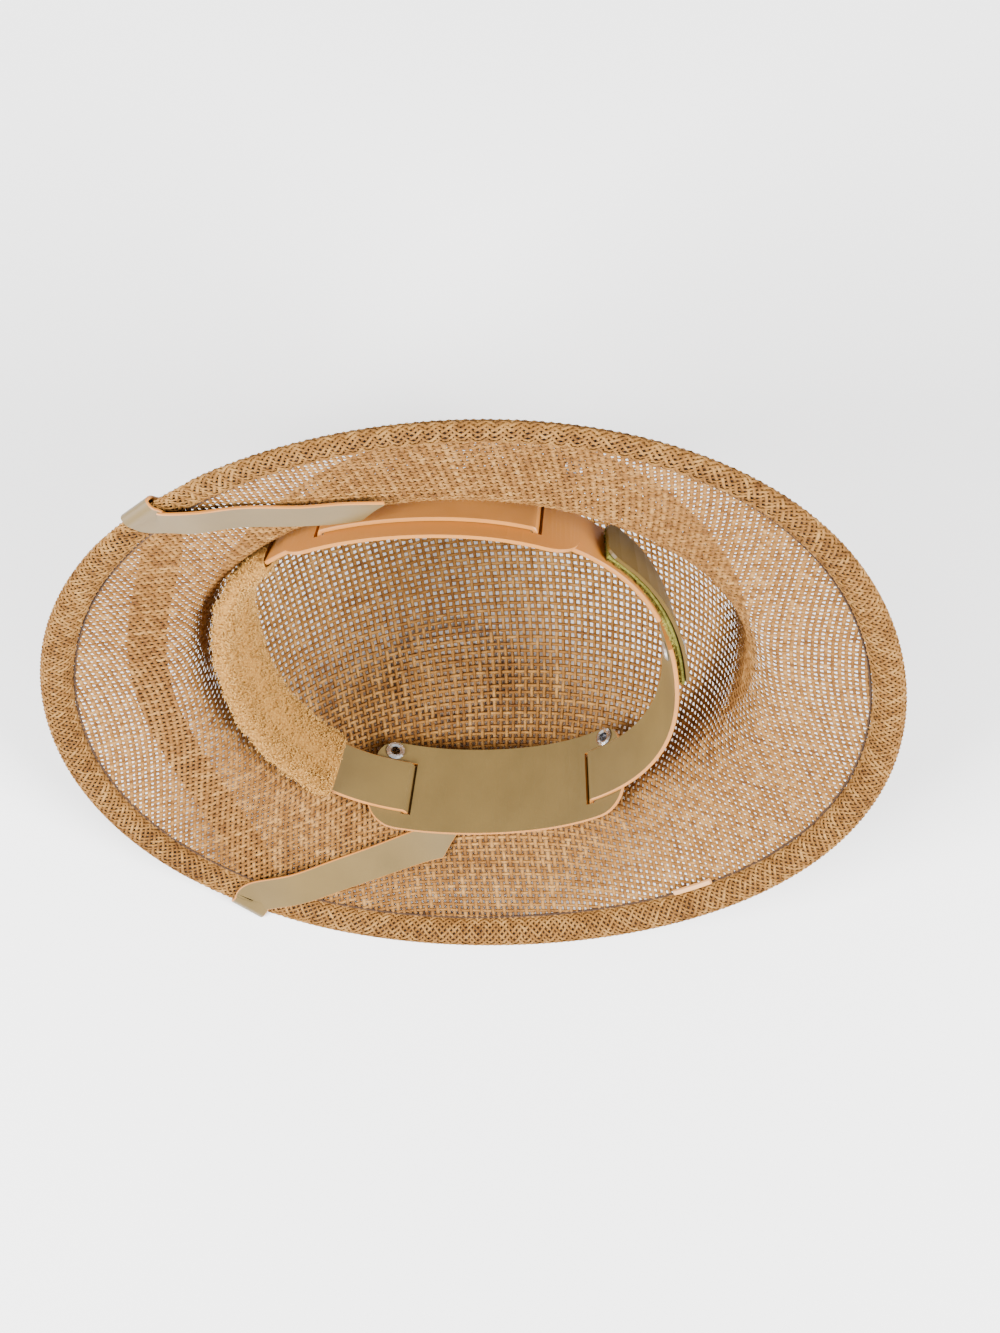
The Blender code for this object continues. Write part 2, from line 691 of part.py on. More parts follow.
def tab_arcs():
    """The tab starts with its tail, before the rivet, and ends over the left end of the strip."""
    rivet = arc_at(STRIP_END_RIGHT) - RIVET_FROM_STRIP_END
    return rivet - TAB_TAIL, rivet, PLATE_MIDDLES["left"] - PLATE_LENGTH / 2 - TAB_FROM_PLATE


def rivet_place():
    return turn_at(tab_arcs()[1])


def make_closure_tab(cutter):
    start, _, end = tab_arcs()
    arcs = spaced_arcs(start, end, BAND_STEP, corner_arcs(start, end, TAB_CORNER))
    sections = band_ribbon(arcs, STRIP_MIDDLE, TAB_OFFSET, TAB_WIDTH, TAB_THICKNESS, TAB_CORNER)
    verts, faces = tube_mesh(sections)
    tab = make_object("closure_tab", lay(verts), faces, (0.30, 0.28, 0.12), 0.5)
    cut_with(tab, cutter)
    return tab


def make_loop_pile(cutter):
    start, _, end = tab_arcs()
    inset = (TAB_WIDTH - PILE_WIDTH) / 2
    arcs = spaced_arcs(start + inset, end - inset, BAND_STEP)
    sections = band_ribbon(arcs, STRIP_MIDDLE, PILE_OFFSET, PILE_WIDTH, PILE_THICKNESS)
    verts, faces = tube_mesh(sections)
    pile = make_object("loop_pile", lay(verts), faces, (0.36, 0.38, 0.12), 0.9)
    cut_with(pile, cutter)
    return pile


def make_rivet():
    """Domed head inside the strip, shaft through strip, pile and tab, and a flat head outside."""
    centre, _, outward, _ = band_frame(rivet_place(), STRIP_MIDDLE, 0.0)
    inner = -STRIP_OFFSET - BAND_THICKNESS / 2 - GAP
    outer = TAB_OFFSET + TAB_THICKNESS / 2 + GAP
    head, shaft = RIVET_HEAD / 2, RIVET_SHAFT / 2
    profile = (
        (head * 0.30, inner - RIVET_RISE),
        (head * 0.70, inner - RIVET_RISE * 0.75),
        (head, inner - RIVET_RISE * 0.2),
        (head, inner),
        (shaft, inner),
        (shaft, outer),
        (head, outer),
        (head * 0.8, outer + RIVET_RISE * 0.6),
    )
    verts, faces = turned_mesh(profile, centre, outward, TURNED_STEPS, False)
    return make_object("closure_rivet", lay(verts), faces, (0.78, 0.78, 0.76), 0.3, 1.0)


def rivet_cutter():
    centre, _, outward, _ = band_frame(rivet_place(), STRIP_MIDDLE, 0.0)
    radius = RIVET_SHAFT / 2 + GAP
    ends = ((radius, -CUTTER_INWARD), (radius, CUTTER_OUTWARD))
    verts, faces = turned_mesh(ends, centre, outward, TURNED_STEPS, False)
    return make_cutter("rivet_hole", lay(verts), faces)


# Sweat pad

def make_sweat_pad():
    """Sleeve of towelling round the strip: a rounded oblong tube, open at both ends."""
    arcs = np.linspace(arc_at(PAD_START), arc_at(PAD_END), PAD_STEPS)
    point, _, outward, down = band_frame(turn_at(arcs), STRIP_MIDDLE, -STRIP_OFFSET)
    around = (np.arange(PAD_SIDES) + 0.5) * 2.0 * math.pi / PAD_SIDES
    rings = []
    for grow, square in ((0.0, 0.06), (PAD_WALL, 0.5)):
        half_width = STRIP_WIDTH / 2 + PAD_SPARE + grow
        half_thick = BAND_THICKNESS / 2 + PAD_SPARE + grow
        wide = np.sign(np.cos(around)) * np.abs(np.cos(around)) ** square * half_width
        thick = np.sign(np.sin(around)) * np.abs(np.sin(around)) ** square * half_thick
        rings.append(point[:, None] + down[:, None] * wide[None, :, None] + outward[:, None] * thick[None, :, None])
    rows, columns = rings[0].shape[:2]
    count = rows * columns
    faces = grid_faces(rows, columns) + grid_faces(rows, columns, start=count)
    for row in (0, rows - 1):
        for column in range(columns):
            ahead = (column + 1) % columns
            first, second = row * columns + column, row * columns + ahead
            faces.append((first, second, count + second, count + first))
    verts = np.concatenate([rings[0].reshape(-1, 3), rings[1].reshape(-1, 3)])
    return make_object("sweat_pad", lay(verts), faces, (0.66, 0.48, 0.26), 0.95)


# Chin strap

# Route over the hat: angle in degrees, run on the woven wall, side of the wall (1 inside, -1 outside)
STRAP_NEAR = (
    (-99.0, 1.76, 1),
    (-105.5, 1.83, 1),
    (-112.5, 2.17, 1),
    (-120.0, 2.53, 1),
    (-125.5, 2.84, 1),
)
STRAP_FRONT = (
    (-134.0, 2.82, -1),
    (-142.0, 2.50, -1),
    (-154.0, 2.27, -1),
    (-168.0, 2.16, -1),
    (-182.0, 2.13, -1),
    (-198.0, 2.18, -1),
    (-212.0, 2.30, -1),
    (-222.0, 2.52, -1),
    (-229.5, 2.84, -1),
)
STRAP_FAR = (
    (-238.0, 2.92, 1),
    (-243.5, 2.50, 1),
    (-249.0, 2.12, 1),
    (-256.0, 1.94, 1),
    (-264.0, 1.80, 1),
)


def strap_on_wall(degrees, run, side):
    turn = np.array(math.radians(degrees))
    normal = surface_normal(turn, np.array(run)) * side
    wall = HEM_THICKNESS if run > 2.8 else WEAVE_THICKNESS
    lift = wall / 2 + STRAP_SPARE + STRAP_THICKNESS / 2
    return hat_surface(turn, np.array(run)) + normal * lift, normal


def strap_round_hem(degrees, start_side):
    """Points round the outside of the hem, from one side of the brim to the other."""
    turn = np.array(math.radians(degrees))
    edge = hat_surface(turn, 3.0)
    outward = edge - hat_surface(turn, 2.5)
    outward /= np.linalg.norm(outward)
    normal = surface_normal(turn, np.array(2.9))
    centre = edge + outward * (HEM_WIDTH / 2 + GAP)
    thickness = hem_thickness(turn)
    points = []
    for angle in (100.0, 60.0, 25.0, 0.0, -25.0, -60.0, -100.0):
        around = math.radians(angle * start_side)
        spare = STRAP_SPARE_AT_HEM + (STRAP_SPARE - STRAP_SPARE_AT_HEM) * math.cos(around) ** 2
        wide = HEM_WIDTH / 2 * math.cos(around)
        thick = thickness / 2 * math.sin(around)
        facing = outward * math.cos(around) / HEM_WIDTH + normal * math.sin(around) / thickness
        facing /= np.linalg.norm(facing)
        lift = spare + STRAP_THICKNESS / 2
        points.append((centre + outward * wide + normal * thick + facing * lift, facing))
    return points


def strap_route():
    route = [strap_on_wall(*row) for row in STRAP_NEAR]
    route += strap_round_hem(STRAP_NEAR_RIM, 1)
    route += [strap_on_wall(*row) for row in STRAP_FRONT]
    route += strap_round_hem(STRAP_FAR_RIM, -1)
    route += [strap_on_wall(*row) for row in STRAP_FAR]
    return np.array([point for point, _ in route]), np.array([normal for _, normal in route])


def smooth_through(points, steps):
    """Catmull-Rom curve through points, with the same number of steps between each two."""
    ends = np.concatenate([[2 * points[0] - points[1]], points, [2 * points[-1] - points[-2]]])
    share = np.linspace(0.0, 1.0, steps, endpoint=False)[:, None]
    pieces = []
    for index in range(len(points) - 1):
        a, b, c, d = ends[index:index + 4]
        pieces.append(0.5 * (2 * b + (c - a) * share + (2 * a - 5 * b + 4 * c - d) * share ** 2
                             + (3 * b - a - 3 * c + d) * share ** 3))
    return np.concatenate(pieces + [points[-1:]])


def slanted_ends(centre, along, across):
    """Shift of each corner along the strap, so that both ends are cut on a slant behind the plates."""
    run = np.concatenate([[0.0], np.cumsum(np.linalg.norm(np.diff(centre, axis=0), axis=1))])
    near = np.clip(1.0 - run / STRAP_SLANT_REACH, 0.0, 1.0)
    far = np.clip(1.0 - (run[-1] - run) / STRAP_SLANT_REACH, 0.0, 1.0)
    upward = -np.sign(across[:, 2])
    sides = np.array([1.0, -1.0, -1.0, 1.0])
    shift = (STRAP_SLANT * (near - far) * upward)[:, None] * sides[None, :]
    return along[:, None, :] * shift[..., None]


def make_chin_strap():
    points, normals = strap_route()
    centre = smooth_through(points, 3)
    normal = smooth_through(normals, 3)
    along = np.gradient(centre, axis=0)
    along /= np.linalg.norm(along, axis=1, keepdims=True)
    normal -= along * (normal * along).sum(axis=1, keepdims=True)
    normal /= np.linalg.norm(normal, axis=1, keepdims=True)
    across = np.cross(along, normal)
    sections = ribbon_sections(centre, across, normal, STRAP_WIDTH, STRAP_THICKNESS)
    sections += slanted_ends(centre, along, across)
    verts, faces = tube_mesh(sections)
    strap = make_object("chin_strap", lay(verts), faces, (0.42, 0.35, 0.20), 0.5)
    cut_floor(strap)
    return strap


def main():
    clear_scene()
    body = make_woven_body()
    make_rolled_hem()
    make_rim_reed()
    for side in ("left", "right"):
        cutters = []
        for place, (turn, depth) in zip(("front", "rear"), eyelet_places(side)):
            cutter = eyelet_cutter(f"eyelet_hole_{side}_{place}", turn, depth)
            cut_with(body, cutter)
            cutters.append(cutter)
            make_eyelet(f"eyelet_{side}_{place}", turn, depth)
        make_side_plate(side, cutters)
    rivet_hole = rivet_cutter()
    band = make_head_band()
    cut_with(band, rivet_hole)
    make_closure_tab(rivet_hole)
    make_loop_pile(rivet_hole)
    make_rivet()
    make_sweat_pad()
    make_chin_strap()


main()
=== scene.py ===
"""Open-weave straw sun helmet lying on its side: yarn mesh, head band, pad and chin strap."""
import math

import bpy
import numpy as np
from mathutils import Matrix, Vector


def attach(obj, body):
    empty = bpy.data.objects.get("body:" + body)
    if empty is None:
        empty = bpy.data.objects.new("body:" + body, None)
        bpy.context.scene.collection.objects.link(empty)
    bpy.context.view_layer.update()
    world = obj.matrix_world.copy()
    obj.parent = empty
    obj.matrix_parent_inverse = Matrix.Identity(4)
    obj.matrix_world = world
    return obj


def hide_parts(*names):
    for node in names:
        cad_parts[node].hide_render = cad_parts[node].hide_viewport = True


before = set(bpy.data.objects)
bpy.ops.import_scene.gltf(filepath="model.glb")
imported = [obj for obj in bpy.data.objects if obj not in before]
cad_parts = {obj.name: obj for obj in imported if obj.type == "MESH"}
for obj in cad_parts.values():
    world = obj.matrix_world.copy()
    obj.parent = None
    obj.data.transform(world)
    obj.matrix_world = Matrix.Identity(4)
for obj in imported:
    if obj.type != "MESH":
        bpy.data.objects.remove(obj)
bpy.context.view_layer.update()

# Sizes of the hat, in metres, in its own frame: +X rear, +Y wearer's left, +Z out of the opening
BRIM_LENGTH = 0.355
BRIM_WIDTH = 0.309
THROAT_LENGTH = 0.226
THROAT_HALF_LEFT = 0.0920
THROAT_HALF_RIGHT = 0.0950
THROAT_SKEW = 0.014
CROWN_DEPTH = 0.104
CROWN_FULLNESS = 1.95
THROAT_FILLET = 0.018
BRIM_DROP_SIDE = 0.0155
BRIM_DROP_END = 0.0075
HEM_WIDTH = 0.0135
HEM_THICKNESS = 0.0058
RIM_WAVES = ((2, 0.003, 0.037), (3, -0.009, -0.022), (4, -0.012, -0.001))

# How it lies: turns in degrees, then the drop to the floor and the shift to the middle of its box
ROLL = 46.8396
LEAN_TO_FRONT = 11.0
TURN_ON_FLOOR = 2.1
DROP = 0.10263547
SHIFT = (-0.00146013, -0.00775096)

# Yarn mesh
PITCH = 0.00262
YARN_WIDTH = 0.00158
YARN_THICKNESS = 0.00060
YARN_RISE = 0.00032
LOWEST_POINT = 0.0001
LOWEST_YARN = 0.0009
YARN_TONE_SPREAD = 0.45
YARN_DRIFT = 0.00022
CROWN_REACH = 0.150

# How the cloth is laid over the wall: first with every third yarn, pulled even in rounds, then with all
CLOTH_REACH = 0.222
START_STRETCH = 1.18
COARSE = 3
PULL_ROUNDS = 900
CELL_DIAGONAL = 1.41421
CELL_STIFF = 0.02
CELL_LEAST = 0.80
CELL_PUSH = 0.25
YARN_STIFF = 0.25
MOVE_LIMIT = 0.3

# Rolled hem
HEM_TURNS = 384
HEM_ROUND = 12
HEM_YARN_WIDTH = 0.00112
HEM_YARN_INSET = 0.0004
HEM_CORE_INSET = 0.0010
HEM_RINGS = 480
HEM_SIDES = 24
LOWEST_CORE = 0.0012
FOLD_SHADE_WIDTH = 0.0011
PINCHES = (-130.0, -234.0)
PINCH_SHARE = 0.62
PINCH_FLAT = 6.0
PINCH_END = 11.0

# Head band, side plates, closure and pad
GAP = 0.0003
BAND_LENGTH = 0.191
BAND_HALF_LEFT = 0.0855
BAND_HALF_RIGHT = 0.0920
BAND_SQUARENESS = 0.05
BAND_SHIFT = -0.008
BAND_LEAN_LEFT = 5.0
BAND_LEAN_RIGHT = 12.0
BAND_LEAN_END = 16.0
BAND_THICKNESS = 0.0018
STRIP_STEP = 0.0006
STRIP_WIDTH = 0.0240
STRIP_BELOW_THROAT = 0.0045
STRIP_END_RIGHT = 8.0
STRIP_END_LEFT = 19.0
PLATE_LENGTH = 0.121
PLATE_SHIFT = 0.0065
PLATE_THICKNESS = 0.0016
SLIT_SPACING = 0.085
SLIT_CROSSING = 0.0032
TAB_TAIL = 0.012
TAB_FROM_PLATE = 0.0110
TAB_WIDTH = 0.0220
PILE_WIDTH = 0.0198
PILE_THICKNESS = 0.0026
RIVET_FROM_STRIP_END = 0.013
PAD_START = 128.0
PAD_END = 228.0
PAD_WALL = 0.0026
PAD_SPARE = 0.0006
PAD_ROWS = 420
PAD_SIDES = 96
PAD_LOOPS = 5200
PILE_LOOPS = 2600
LOOP_POINTS = 5

# Chin strap
WEAVE_THICKNESS = 0.0012
STRAP_WIDTH = 0.0158
STRAP_THICKNESS = 0.0014
STRAP_SPARE = 0.0012
STRAP_SPARE_AT_HEM = 0.0006
STRAP_TUCK = 0.011
STRAP_TIP_SHARE = 0.12
STRAP_EASING = 60
STRAP_STEPS = 10
HEM_WRAP = (100.0, 60.0, 25.0, 0.0, -25.0, -60.0, -100.0)

# Materials
TWISTS_PER_METRE = 1400.0
CLOUD_SPREAD = 0.10

# Camera, floor and light
CAMERA_HEIGHT = 1.0
CAMERA_PLACE = (0.01345, 0.0071)
LENS = 60.1
SHADE_MIDDLE = (0.0, -0.030, 0.0)
SHADE_REACH = (0.118, 0.081, 1.0)
SHADE_COLOUR = (0.29, 0.195, 0.125)
FLOOR_COLOUR = (0.93, 0.93, 0.93)
FLOOR_HALF = 3.0
WORLD_STRENGTH = 0.62
LAMPS = (("lamp_left", (-1.15, -0.42, 1.10), 92.0), ("lamp_right", (1.15, -0.42, 1.10), 84.0))
LAMP_TARGET = (0.0, 0.0, 0.05)
LAMP_SIZE = 0.8


def spin_matrix():
    """Turn from the hat's frame to the floor's: rolled on its side, leant to the front, turned."""
    roll = Matrix.Rotation(math.radians(ROLL), 3, 'X')
    lean = Matrix.Rotation(math.radians(-LEAN_TO_FRONT), 3, 'Y')
    turn = Matrix.Rotation(math.radians(TURN_ON_FLOOR), 3, 'Z')
    return np.array(turn @ lean @ roll)


SPIN = spin_matrix()


def lay(points):
    """Points of the hat's frame on the floor: spun, shifted to the middle of the box and dropped."""
    return np.asarray(points, float) @ SPIN.T + np.array([-SHIFT[0], -SHIFT[1], DROP])


def lay_above(points, least=LOWEST_POINT):
    """Points laid on the floor, with none of them lower than least."""
    laid = lay(points)
    laid[..., 2] = np.maximum(laid[..., 2], least)
    return laid


def curve_through(a, b, c, d, share):
    """Place between b and c on the smooth (Catmull-Rom) curve through four points that follow each other."""
    return 0.5 * (2 * b + (c - a) * share + (2 * a - 5 * b + 4 * c - d) * share ** 2
                  + (3 * b - a - 3 * c + d) * share ** 3)


def blurred(values):
    """Each value of a grid averaged with its four neighbours."""
    return (values + np.roll(values, 1, 0) + np.roll(values, -1, 0)
            + np.roll(values, 1, 1) + np.roll(values, -1, 1)) / 5


def unit(vectors):
    """Vectors brought to length one."""
    return vectors / np.maximum(np.linalg.norm(vectors, axis=-1, keepdims=True), 1e-12)


# The woven wall as a smooth surface

def throat_oval(turn):
    """Oval in plan with a small skew, wider on the lower side."""
    share = 1.0 + THROAT_SKEW * np.sin(2.0 * turn)
    half_width = np.where(np.sin(turn) < 0.0, THROAT_HALF_RIGHT, THROAT_HALF_LEFT)
    return np.stack([THROAT_LENGTH / 2 * share * np.cos(turn), half_width * share * np.sin(turn)], axis=-1)


def brim_edge(turn):
    """Inner line of the hem in plan: an oval whose radius carries a few low waves."""
    share = 1.0 + sum(c * np.cos(n * turn) + s * np.sin(n * turn) for n, c, s in RIM_WAVES)
    half_length, half_width = BRIM_LENGTH / 2 - HEM_WIDTH, BRIM_WIDTH / 2 - HEM_WIDTH
    return np.stack([half_length * share * np.cos(turn), half_width * share * np.sin(turn)], axis=-1)


def brim_drop(turn):
    """How far the brim falls from throat to hem: one value at the ends, another at the sides."""
    return BRIM_DROP_SIDE + (BRIM_DROP_END - BRIM_DROP_SIDE) * np.cos(turn) ** 2


def hat_surface(turn, run):
    """Middle of the woven wall: run 0 to 1 is a superellipse crown, 1 to 2 an arc, 2 to 3 a straight brim.

    Past 3 the brim goes on straight, so that the cloth has somewhere to lie before it is cut.
    """
    turn, run = np.broadcast_arrays(np.asarray(turn, float), np.asarray(run, float))
    throat = throat_oval(turn)
    outward = brim_edge(turn) - throat
    reach = np.linalg.norm(outward, axis=-1)
    outward = outward / reach[..., None]
    slope = np.arctan2(brim_drop(turn), reach)
    wall_top = -THROAT_FILLET * np.cos(slope)
    lift = np.clip(run, 0.0, 1.0) * math.pi / 2
    power = 2.0 / CROWN_FULLNESS
    ring = np.sin(lift) ** power
    crown_z = wall_top - (CROWN_DEPTH + wall_top) * np.cos(lift).clip(0.0) ** power
    bend = np.clip(run - 1.0, 0.0, 1.0) * (math.pi / 2 - slope)
    fillet_end = THROAT_FILLET * (1.0 - np.sin(slope))
    along = np.clip(run - 2.0, 0.0, 2.8)
    brim_out = fillet_end + (reach - fillet_end) * along
    out = np.where(run > 2.0, brim_out, THROAT_FILLET * (1.0 - np.cos(bend)))
    fillet_z = wall_top + THROAT_FILLET * np.sin(bend)
    z = np.where(run > 2.0, brim_drop(turn) * along, np.where(run > 1.0, fillet_z, crown_z))
    return np.concatenate([throat * ring[..., None] + outward * out[..., None], z[..., None]], axis=-1)


def surface_normal(turn, run, step=1e-3):
    """Unit normal of the woven wall, towards the opening, from differences both ways."""
    run = np.clip(run, 4 * step, 4.7)
    across = hat_surface(turn + step, run) - hat_surface(turn - step, run)
    along = hat_surface(turn, run + step) - hat_surface(turn, run - step)
    normal = unit(np.cross(along, across))
    return normal * np.where(normal[..., 2:3] < 0.0, -1.0, 1.0)


class Wall:
    """The wall flattened about the crown's top: radius is the way down the wall, angle is the turn."""

    TURNS = 720
    RADII = 420
    REACH = 0.330

    def __init__(self):
        """Tables of runs, points and normals by turn and way down, and the way to the hem's inner line."""
        turn = np.arange(self.TURNS) * 2.0 * math.pi / self.TURNS
        run = np.concatenate([[0.0], np.geomspace(0.004, 0.2, 40), np.linspace(0.21, 4.8, 600)])
        points = hat_surface(turn[:, None], run[None, :])
        way = np.cumsum(np.linalg.norm(np.diff(points, axis=1), axis=2), axis=1)
        way = np.concatenate([np.zeros((self.TURNS, 1)), way], axis=1)
        radii = np.linspace(0.0, self.REACH, self.RADII)
        self.runs = np.stack([np.interp(radii, row, run) for row in way])
        self.points = hat_surface(turn[:, None], self.runs)
        self.normals = surface_normal(turn[:, None], self.runs)
        self.edge = np.array([np.interp(3.0, run, row) for row in way])

    def read(self, table, flat):
        """Values of a table of turns by radii at flat places, blended between the four nearest."""
        turn = np.arctan2(flat[..., 1], flat[..., 0]) / (2.0 * math.pi) * self.TURNS
        radius = np.hypot(flat[..., 0], flat[..., 1]) / self.REACH * (self.RADII - 1)
        radius = np.clip(radius, 0.0, self.RADII - 1.001)
        low_turn, low_radius = np.floor(turn).astype(int), np.floor(radius).astype(int)
        a, b = turn - low_turn, radius - low_radius
        if table.ndim == 3:
            a, b = a[..., None], b[..., None]
        first, second = low_turn % self.TURNS, (low_turn + 1) % self.TURNS
        inner = table[first, low_radius] * (1 - a) + table[second, low_radius] * a
        outer = table[first, low_radius + 1] * (1 - a) + table[second, low_radius + 1] * a
        return inner * (1 - b) + outer * b

    def beyond_edge(self, flat):
        """How far each flat place lies past the brim's inner hem line, negative inside it."""
        turn = np.arctan2(flat[..., 1], flat[..., 0])
        angles = np.arange(self.TURNS + 1) * 2.0 * math.pi / self.TURNS
        edge = np.interp(turn % (2.0 * math.pi), angles, np.append(self.edge, self.edge[0]))
        return np.hypot(flat[..., 0], flat[..., 1]) - edge


LESS, MORE, ALL = slice(None, -1), slice(1, None), slice(None)
ALONG_YARNS = (((LESS, ALL), (MORE, ALL)), ((ALL, LESS), (ALL, MORE)))
ACROSS_CELLS = (((LESS, LESS), (MORE, MORE)), ((MORE, LESS), (LESS, MORE)))


def gap_between(here, first, second):
    """Gaps from the first crossings to the second ones, their lengths, and the lengths kept above zero."""
    gap = here[second] - here[first]
    length = np.linalg.norm(gap, axis=-1, keepdims=True)
    return gap, length, np.maximum(length, 1e-9)


def pull_even(wall, flat, pitch, keep):
    """Moves the crossings of the cloth over the wall until neighbours along each yarn lie a pitch apart.

    Each yarn length pulls or pushes its two ends along the wall, each crossing is drawn a little to
    the middle of its neighbours, and a cell that closes up too far is pushed open. A round's move is
    taken back to flat places through the slope of the wall there.
    """
    step = 2e-4
    valid = [keep[1:] & keep[:-1], keep[:, 1:] & keep[:, :-1]]
    whole = (valid[0][:, :-1] & valid[0][:, 1:])[..., None]
    inner = keep.copy()
    inner[1:-1, 1:-1] &= keep[2:, 1:-1] & keep[:-2, 1:-1] & keep[1:-1, 2:] & keep[1:-1, :-2]
    inner[[0, -1]] = inner[:, [0, -1]] = False
    for _ in range(PULL_ROUNDS):
        here = wall.read(wall.points, flat)
        move = np.zeros_like(here)
        for (first, second), held in zip(ALONG_YARNS, valid):
            gap, length, over = gap_between(here, first, second)
            pull = 0.5 * (length - pitch) / over * gap * held[..., None]
            move[first] += pull
            move[second] -= pull
        for first, second in ACROSS_CELLS:
            gap, length, over = gap_between(here, first, second)
            push = CELL_STIFF * (length - CELL_DIAGONAL * pitch) / over * gap * whole
            push += CELL_PUSH * np.clip(length - CELL_LEAST * pitch, None, 0.0) / over * gap * whole
            move[first] += push
            move[second] -= push
        middle = np.zeros_like(here)
        beside = here[2:, 1:-1] + here[:-2, 1:-1] + here[1:-1, 2:] + here[1:-1, :-2]
        middle[1:-1, 1:-1] = beside / 4 - here[1:-1, 1:-1]
        move += YARN_STIFF * middle * inner[..., None]
        slope_x = (wall.read(wall.points, flat + [step, 0.0]) - here) / step
        slope_y = (wall.read(wall.points, flat + [0.0, step]) - here) / step
        xx, yy, xy = (slope_x ** 2).sum(-1), (slope_y ** 2).sum(-1), (slope_x * slope_y).sum(-1)
        px, py = (slope_x * move).sum(-1), (slope_y * move).sum(-1)
        scale = 0.5 / np.maximum(xx * yy - xy ** 2, 1e-3)
        shift = np.stack([(yy * px - xy * py) * scale, (xx * py - xy * px) * scale], axis=-1)
        size = np.linalg.norm(shift, axis=-1, keepdims=True)
        flat = flat + shift * np.minimum(1.0, MOVE_LIMIT * pitch / np.maximum(size, 1e-9)) * keep[..., None]
    return flat


def finer(flat, times):
    """The same cloth with more crossings, on smooth curves through the ones that it has."""
    for axis in (0, 1):
        flat = np.moveaxis(flat, axis, 0)
        count = flat.shape[0]
        place = np.arange((count - 1) * times + 1) / times
        low = np.minimum(place.astype(int), count - 2)
        share = (place - low)[:, None, None]
        wide = np.concatenate([2 * flat[:1] - flat[1:2], flat, 2 * flat[-1:] - flat[-2:-1]])
        flat = curve_through(*(wide[low + step] for step in range(4)), share)
        flat = np.moveaxis(flat, 0, axis)
    return flat


def lay_cloth(wall):
    """Flat places of every crossing of the square cloth, pulled even over the wall and then made finer."""
    pitch = PITCH * COARSE
    half = int(math.ceil(CLOTH_REACH / pitch))
    line = np.arange(-half, half + 1) * pitch
    flat = np.stack(np.meshgrid(line, line, indexing='ij'), axis=-1)
    keep = np.hypot(flat[..., 0], flat[..., 1]) < CLOTH_REACH
    flat = finer(pull_even(wall, flat * START_STRETCH, pitch, keep), COARSE)
    line = np.arange(-half * COARSE, half * COARSE + 1) * PITCH
    keep = np.hypot(line[:, None], line[None, :]) < CLOTH_REACH - 2 * pitch
    return flat, keep


# Meshes

def make_mesh(name, verts, faces, materials, indices=None):
    """A smooth mesh object at the origin, with a material index for each face if indices are given."""
    mesh = bpy.data.meshes.new(name)
    mesh.from_pydata(verts.tolist(), [], faces)
    mesh.shade_smooth()
    thing = bpy.data.objects.new(name, mesh)
    bpy.context.scene.collection.objects.link(thing)
    for material in materials:
        mesh.materials.append(material)
    if indices is not None:
        mesh.polygons.foreach_set("material_index", np.asarray(indices, np.int32))
    return thing


def tube_quads(rings, sides, closed=False):
    """Faces of a tube of rings of points, joined end to end if it is closed."""
    index = np.arange(rings * sides).reshape(rings, sides)
    if closed:
        index = np.concatenate([index, index[:1]])
    beside = np.roll(index, -1, 1)
    return np.stack([index[:-1], beside[:-1], beside[1:], index[1:]], axis=-1).reshape(-1, 4).tolist()


def add_layer(thing, name, values):
    """Stores one value or one triple of values at each point of the mesh."""
    values = np.asarray(values, np.float32)
    if values.ndim == 1:
        layer = thing.data.attributes.new(name, 'FLOAT', 'POINT')
        layer.data.foreach_set("value", values)
    else:
        layer = thing.data.attributes.new(name, 'FLOAT_VECTOR', 'POINT')
        layer.data.foreach_set("vector", values.ravel())


def yarn_mesh(name, centre, wave, across, normal, joined, tone, material, width=YARN_WIDTH):
    """Flat yarns from rings of four points round their centre lines.

    centre is yarns by rings by three, and wave is how far each ring stands off it along the normal.
    joined says which two rings that follow each other are one yarn. Each ring is a low diamond, as
    wide as the yarn across it and as high along the normal. The centre lines are laid on the floor
    and kept above it first, so that the yarns still cross over and under where the wall is flat.
    """
    yarns, rings = centre.shape[:2]
    half_width = width / 2 * (1.0 + 0.16 * tone[:, None, None])
    middle = lay_above(centre, LOWEST_YARN)
    wide, high = across @ SPIN.T * half_width, normal @ SPIN.T
    middle = middle + high * wave[..., None]
    laid = np.stack([middle + wide, middle + high * YARN_THICKNESS / 2,
                     middle - wide, middle - high * YARN_THICKNESS / 2], axis=2)
    laid[..., 2] = np.maximum(laid[..., 2], LOWEST_POINT)
    index = np.arange(yarns * rings * 4).reshape(yarns, rings, 4)
    first, second = index[:, :-1][joined], index[:, 1:][joined]
    ahead = np.roll(np.arange(4), -1)
    quads = np.stack([first, first[:, ahead], second[:, ahead], second], axis=2).reshape(-1, 4)
    used = np.zeros(yarns * rings * 4, bool)
    used[quads.ravel()] = True
    renumber = np.cumsum(used) - 1
    thing = make_mesh(name, laid.reshape(-1, 3)[used], renumber[quads].tolist(), [material])
    way, corner = np.arange(rings)[None, :, None] * PITCH / 2, np.arange(4)[None, None, :] / 4.0
    layer = [np.broadcast_to(values, index.shape).reshape(-1)[used]
             for values in (way, corner, tone[:, None, None])]
    add_layer(thing, "yarn", np.stack(layer, axis=1))
    return thing


def yarn_tones(rng, count):
    """A lightness for each yarn, from -1 to 1 and mostly near nought."""
    return np.clip(rng.normal(0.0, YARN_TONE_SPREAD, count), -1.0, 1.0)


